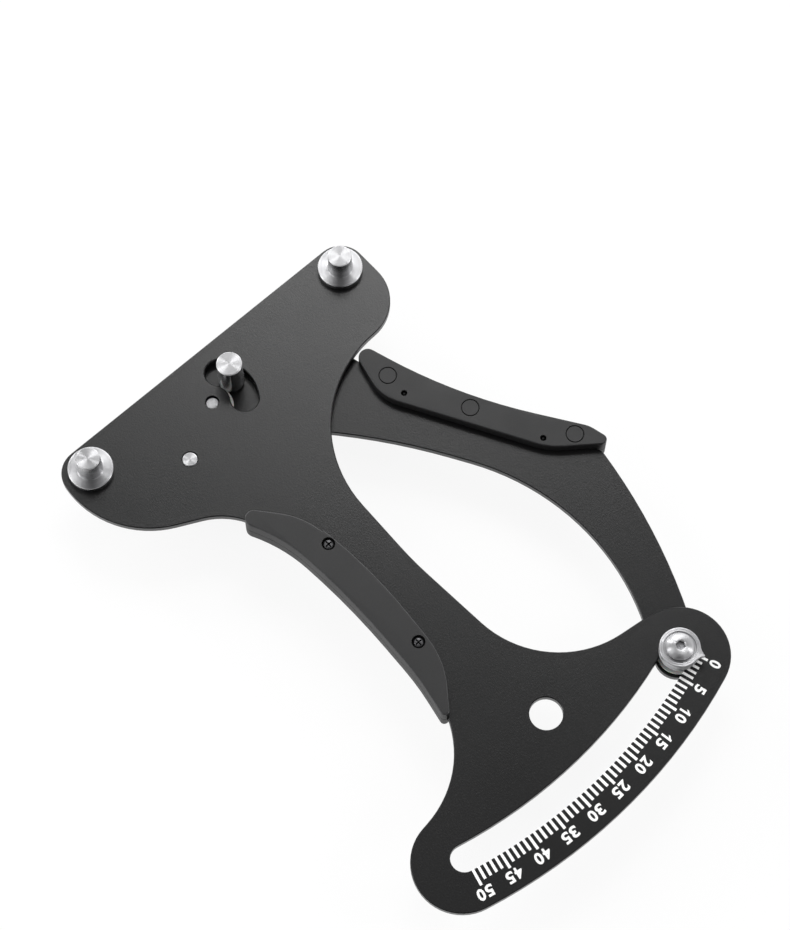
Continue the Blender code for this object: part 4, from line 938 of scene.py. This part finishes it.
flareAngles = np.radians(pointerSettings["direction"]) + np.linspace(-0.45, 0.45, 61)
ringPiece("pointer", pointerRings, "pointer", "lever", 180, flareAngles, loop=True,
          centre=axisOf("pointer_screw"))


collar = {
    "radius": 6.9, "neck": 4.45, "bore": 2.8, "back": -4.0, "seat": 0.3, "top": 3.3, "washerBore": 4.75,
    "grooves": ((0.95, 0.06, 0.1), (1.8, 0.22, 0.24), (2.65, 0.06, 0.1)),     # height, half width, depth
}


def collarRings():
    c = collar
    radius = c["radius"]
    rings = [(c["bore"], c["back"], 0.05), (c["neck"], c["back"], 0.1), (c["neck"], c["seat"], 0.1),
             (radius, c["seat"], 0.12)]
    for middle, half, depth in c["grooves"]:
        rings += [(radius, middle - half, 0.03), (radius - depth, middle - half * 0.6, 0.03),
                  (radius - depth, middle + half * 0.6, 0.03), (radius, middle + half, 0.03)]
    return rings + [(radius, c["top"], 0.12), (c["bore"], c["top"], 0.05)]


ringPiece("pointer_collar", collarRings(), "pointer", "lever", 144, loop=True)
washer = plainRing(collar["washerBore"], collar["radius"], washerTop - stack["washer"], washerTop)
ringPiece("pointer_washer", washer, "nylon", "lever", loop=True)


threadSettings = {"radius": 2.5, "root": 0.36, "pitch": 0.8, "end": -13.9, "start": -8.0, "step": 0.08}


def pointerScrewRings(angles):
    p = pointerSettings
    t = threadSettings
    hexagon = hexRadius(angles, p["socket"])
    # The dome is a quarter ellipse from the rim up to the crown's edge.
    domeFoot = p["headSeat"] + 0.4
    dome = [(p["crownRadius"] + (p["head"] - p["crownRadius"]) * math.cos(turn),
             domeFoot + (p["crown"] - domeFoot) * math.sin(turn), 0)
            for turn in np.linspace(0.0, math.pi / 2, 9)]
    # The thread is a saw-tooth in height plus share of a turn; only its end shows below the nut.
    thread = []
    for height in np.arange(t["end"] + 0.45, t["start"], t["step"]):
        phase = np.mod(height / t["pitch"] - angles / (2 * math.pi), 1.0)
        depth = t["root"] * np.clip(np.abs(phase - 0.5) * 2.3 - 0.1, 0.0, 1.0)
        thread.append((t["radius"] - depth * min(1.0, (t["start"] - height) / 0.6), height, 0))
    return [(0.0, t["end"], 0), (1.85, t["end"], 0.1)] + thread + [
        (t["radius"], t["start"] + 0.1, 0), (t["radius"], p["headSeat"], 0.05),
        (p["head"] - 0.1, p["headSeat"], 0.03), (p["head"], p["headSeat"] + 0.1, 0.05),
    ] + dome + [
        (1.95, p["crown"] - 0.02, 0.05), (hexagon, p["crown"] - 0.22, 0.04),
        (hexagon, p["crown"] - p["socketDepth"], 0.08), (0.0, p["crown"] - p["socketDepth"] - 0.25, 0),
    ]


ringPiece("pointer_screw", pointerScrewRings, "dome", "lever", 120, hexCorners, steps=4)


def socketLiningRings(angles):
    # A thin cup of dull grey that lines the hexagon socket, its walls just inside the screw's: a darker sheet
    # that paints shade in the socket.
    p = pointerSettings
    hexagon = hexRadius(angles, p["socket"])
    floor, rim = p["crown"] - p["socketDepth"] + 0.03, p["crown"] - 0.3
    outer, inner = hexagon - 0.02, hexagon - 0.1
    return [
        (0.0, floor, 0), (outer, floor, 0.03), (outer, rim, 0.02), (inner, rim, 0.02),
        (inner, floor + 0.1, 0.03), (0.0, floor + 0.1, 0),
    ]


socketShade = ringMesh("pointerSocketShade", socketLiningRings, axisOf("pointer_screw"), 60, hexCorners)
addPiece(socketShade, "socket", "lever")
nut = {
    "bore": 2.8, "mouth": 3.25, "flats": 8.0, "back": -12.9, "front": -8.9, "cone": 3.88, "coneSlope": 1.75,
    "coneEnds": (0.0, 0.1, 0.2, 0.3, 0.42), "washer": 5.0, "washerBack": -8.6, "washerFront": -7.6,
}
washer = plainRing(nut["bore"], nut["washer"], nut["washerBack"], nut["washerFront"], 0.15)
ringPiece("pointer_nut_washer", washer, "zinc", "lever", loop=True)


def nutRings(angles):
    # A hexagon whose corners a cone takes off at both ends: the radius is the lesser of the two.
    low, high = nut["back"], nut["front"]
    hexagon = hexRadius(angles, nut["flats"])
    corners = [(np.minimum(hexagon, nut["cone"] + end * nut["coneSlope"]), end) for end in nut["coneEnds"]]
    lower = [(radius, low + end, 0) for radius, end in corners]
    upper = [(radius, high - end, 0) for radius, end in corners[::-1]]
    return [(nut["bore"], low + 0.5, 0.05), (nut["mouth"], low, 0.05)] + lower + upper + [
        (nut["mouth"], high, 0.05), (nut["bore"], high - 0.4, 0.05),
    ]


ringPiece("pointer_nut", nutRings, "zinc", "lever", 120, hexCorners, loop=True, angle=25.0)
print("scene: pointer stack made")

# Floor, lights and camera

studio = {
    "floorSize": 6.0,
    "floorLook": {"colour": (0.94, 0.94, 0.94), "roughness": 0.9},
    "floorGlow": 0.90,                      # share of plain white where the floor is seen
    "world": (0.391, 0.391, 0.394),
    "acrossAxis": (0.7446, -0.6675, 0.0),   # over the ground, along the tent's open side
    "awayAxis": (0.6675, 0.7446, 0.0),      # over the ground, away from the open side
    # Each pair says at which share of a ray along an axis something starts and is full.
    "openHalf": (0.40, 0.22),               # the opening, along the open side
    "openFrom": (-0.06, -0.24),             # the opening, away from it
    "openShade": 0.10,
    "wallFrom": (0.78, 0.45),               # the walls, upward
    "wallAway": (-0.55, 0.0),               # the walls, away from the open side
    "wallGain": 2.0,
}


def makeFloor():
    half = studio["floorSize"] / 2
    low = -0.0002
    corners = [(-half, -half, low), (half, -half, low), (half, half, low), (-half, half, low)]
    mesh = bpy.data.meshes.new("floor")
    mesh.from_pydata(corners, [], [(0, 1, 2, 3)])
    finish, tree, shader = newFinish("floorPaper", studio["floorLook"], 0.0, 0.0)
    grain = spread(tree, cloud(tree, 900.0, 2.0), 0.995, 1.005)
    tree.links.new(tinted(tree, studio["floorLook"]["colour"], grain), shader.inputs["Base Color"])
    # Seen straight or in a mirror, the paper is mostly plain white, and the rest keeps the shadow.
    ray = addNode(tree, "ShaderNodeLightPath").outputs
    seen = reckon(tree, "ADD", ray["Is Camera Ray"], ray["Is Glossy Ray"])
    seen = reckon(tree, "ADD", seen, ray["Is Transmission Ray"], clamp=True)
    share = times(tree, seen, studio["floorGlow"])
    glow = addNode(tree, "ShaderNodeEmission", {"Color": (1.0, 1.0, 1.0, 1.0), "Strength": 1.0})
    sources = {0: share, 1: shader.outputs["BSDF"], 2: glow.outputs["Emission"]}
    mix = addNode(tree, "ShaderNodeMixShader", sources)
    tree.links.new(mix.outputs["Shader"], tree.nodes["Material Output"].inputs["Surface"])
    mesh.materials.append(finish)
    newObject("floor", mesh)


def addSoftbox(name, place, width, height, radiance):
    # An area lamp placed from the pivot and aimed at it; its power follows from how bright its face is to be.
    lamp = bpy.data.lights.new(name, "AREA")
    lamp.shape = "RECTANGLE"
    lamp.size = width
    lamp.size_y = height
    lamp.energy = radiance * math.pi * width * height
    thing = newObject(name, lamp)
    thing.location = Vector(place) + Vector(origin)
    thing.rotation_euler = (-Vector(place)).to_track_quat("-Z", "Y").to_euler()


# Place from the pivot in metres, width, height and radiance.
softboxes = {
    "keyBox": ((0.735, 0.475, 1.218), 0.40, 0.56, 8.0),
    "backBox": ((0.533, 0.824, 1.134), 0.42, 0.88, 4.5),
    "leftBox": ((-0.070, 1.171, 0.562), 0.26, 0.38, 13.5),
    "rightBox": ((0.711, -0.840, 0.692), 0.22, 0.36, 10.5),
    "rimBox": ((1.243, 0.456, 0.704), 0.60, 0.35, 3.4),
    "sideBox": ((-0.95, 0.62, 0.42), 0.30, 0.60, 5.0),
    "fillBox": ((-1.10, 0.30, 1.00), 0.70, 0.70, 2.2),
}


def makeStudio():
    makeFloor()
    for name, (place, width, height, radiance) in softboxes.items():
        addSoftbox(name, place, width, height, radiance)
    world = bpy.data.worlds.new("studioWorld")
    world.use_nodes = True
    tree = world.node_tree
    background = tree.nodes["Background"]
    background.inputs["Strength"].default_value = 1.0
    way = addNode(tree, "ShaderNodeTexCoord").outputs["Generated"]

    def partAlong(axis):
        part = addNode(tree, "ShaderNodeVectorMath", {0: way}, operation="DOT_PRODUCT")
        part.inputs[1].default_value = axis
        return part.outputs["Value"]

    def ramp(value, ends, low, high):
        inputs = {"Value": value, "From Min": ends[0], "From Max": ends[1], "To Min": low, "To Max": high}
        return addNode(tree, "ShaderNodeMapRange", inputs, interpolation_type="SMOOTHSTEP").outputs["Result"]

    # A light tent with a dark open strip up one side, its walls brighter than its roof but on that side.
    away = partAlong(studio["awayAxis"])
    across = reckon(tree, "ABSOLUTE", partAlong(studio["acrossAxis"]))
    opening = times(tree, ramp(across, studio["openHalf"], 0.0, 1.0),
                    ramp(away, studio["openFrom"], 0.0, 1.0))
    shade = ramp(opening, (0.0, 1.0), 1.0, studio["openShade"])
    height = addNode(tree, "ShaderNodeSeparateXYZ", {0: way}).outputs["Z"]
    wall = times(tree, ramp(height, studio["wallFrom"], 0.0, 1.0),
                 ramp(away, studio["wallAway"], 0.0, studio["wallGain"]))
    light = times(tree, reckon(tree, "ADD", wall, 1.0), shade)
    tree.links.new(tinted(tree, studio["world"], light), background.inputs["Color"])
    bpy.context.scene.world = world


cameraSettings = {
    "azimuth": -41.8748, "elevation": 68.5321, "depth": 967.606, "focalPixels": 2745.476,
    "pivotPixel": (212.126, 401.999), "imageSize": (790, 930), "sensor": 36.0,
}


def makeCamera():
    c = cameraSettings
    azimuth = math.radians(c["azimuth"])
    elevation = math.radians(c["elevation"])
    back = Vector((math.sin(azimuth) * math.cos(elevation), -math.cos(azimuth) * math.cos(elevation),
                   math.sin(elevation)))
    right = Vector((math.cos(azimuth), math.sin(azimuth), 0.0))
    up = back.cross(right)
    scale = c["depth"] / c["focalPixels"]
    aside = (c["pivotPixel"][0] - c["imageSize"][0] / 2) * scale
    above = (c["imageSize"][1] / 2 - c["pivotPixel"][1]) * scale
    place = (back * c["depth"] - right * aside - up * above) * mm + Vector(origin)
    lens = bpy.data.cameras.new("camera")
    lens.sensor_fit = "HORIZONTAL"
    lens.sensor_width = c["sensor"]
    lens.lens = c["focalPixels"] * c["sensor"] / c["imageSize"][0]
    lens.clip_start = 0.01
    camera = newObject("camera", lens)
    camera.matrix_world = Matrix.Translation(place) @ Matrix((right, up, back)).transposed().to_4x4()
    bpy.context.scene.camera = camera


makeStudio()
makeCamera()
bpy.context.scene.view_settings.view_transform = "Standard"
print("scene: studio and camera set")
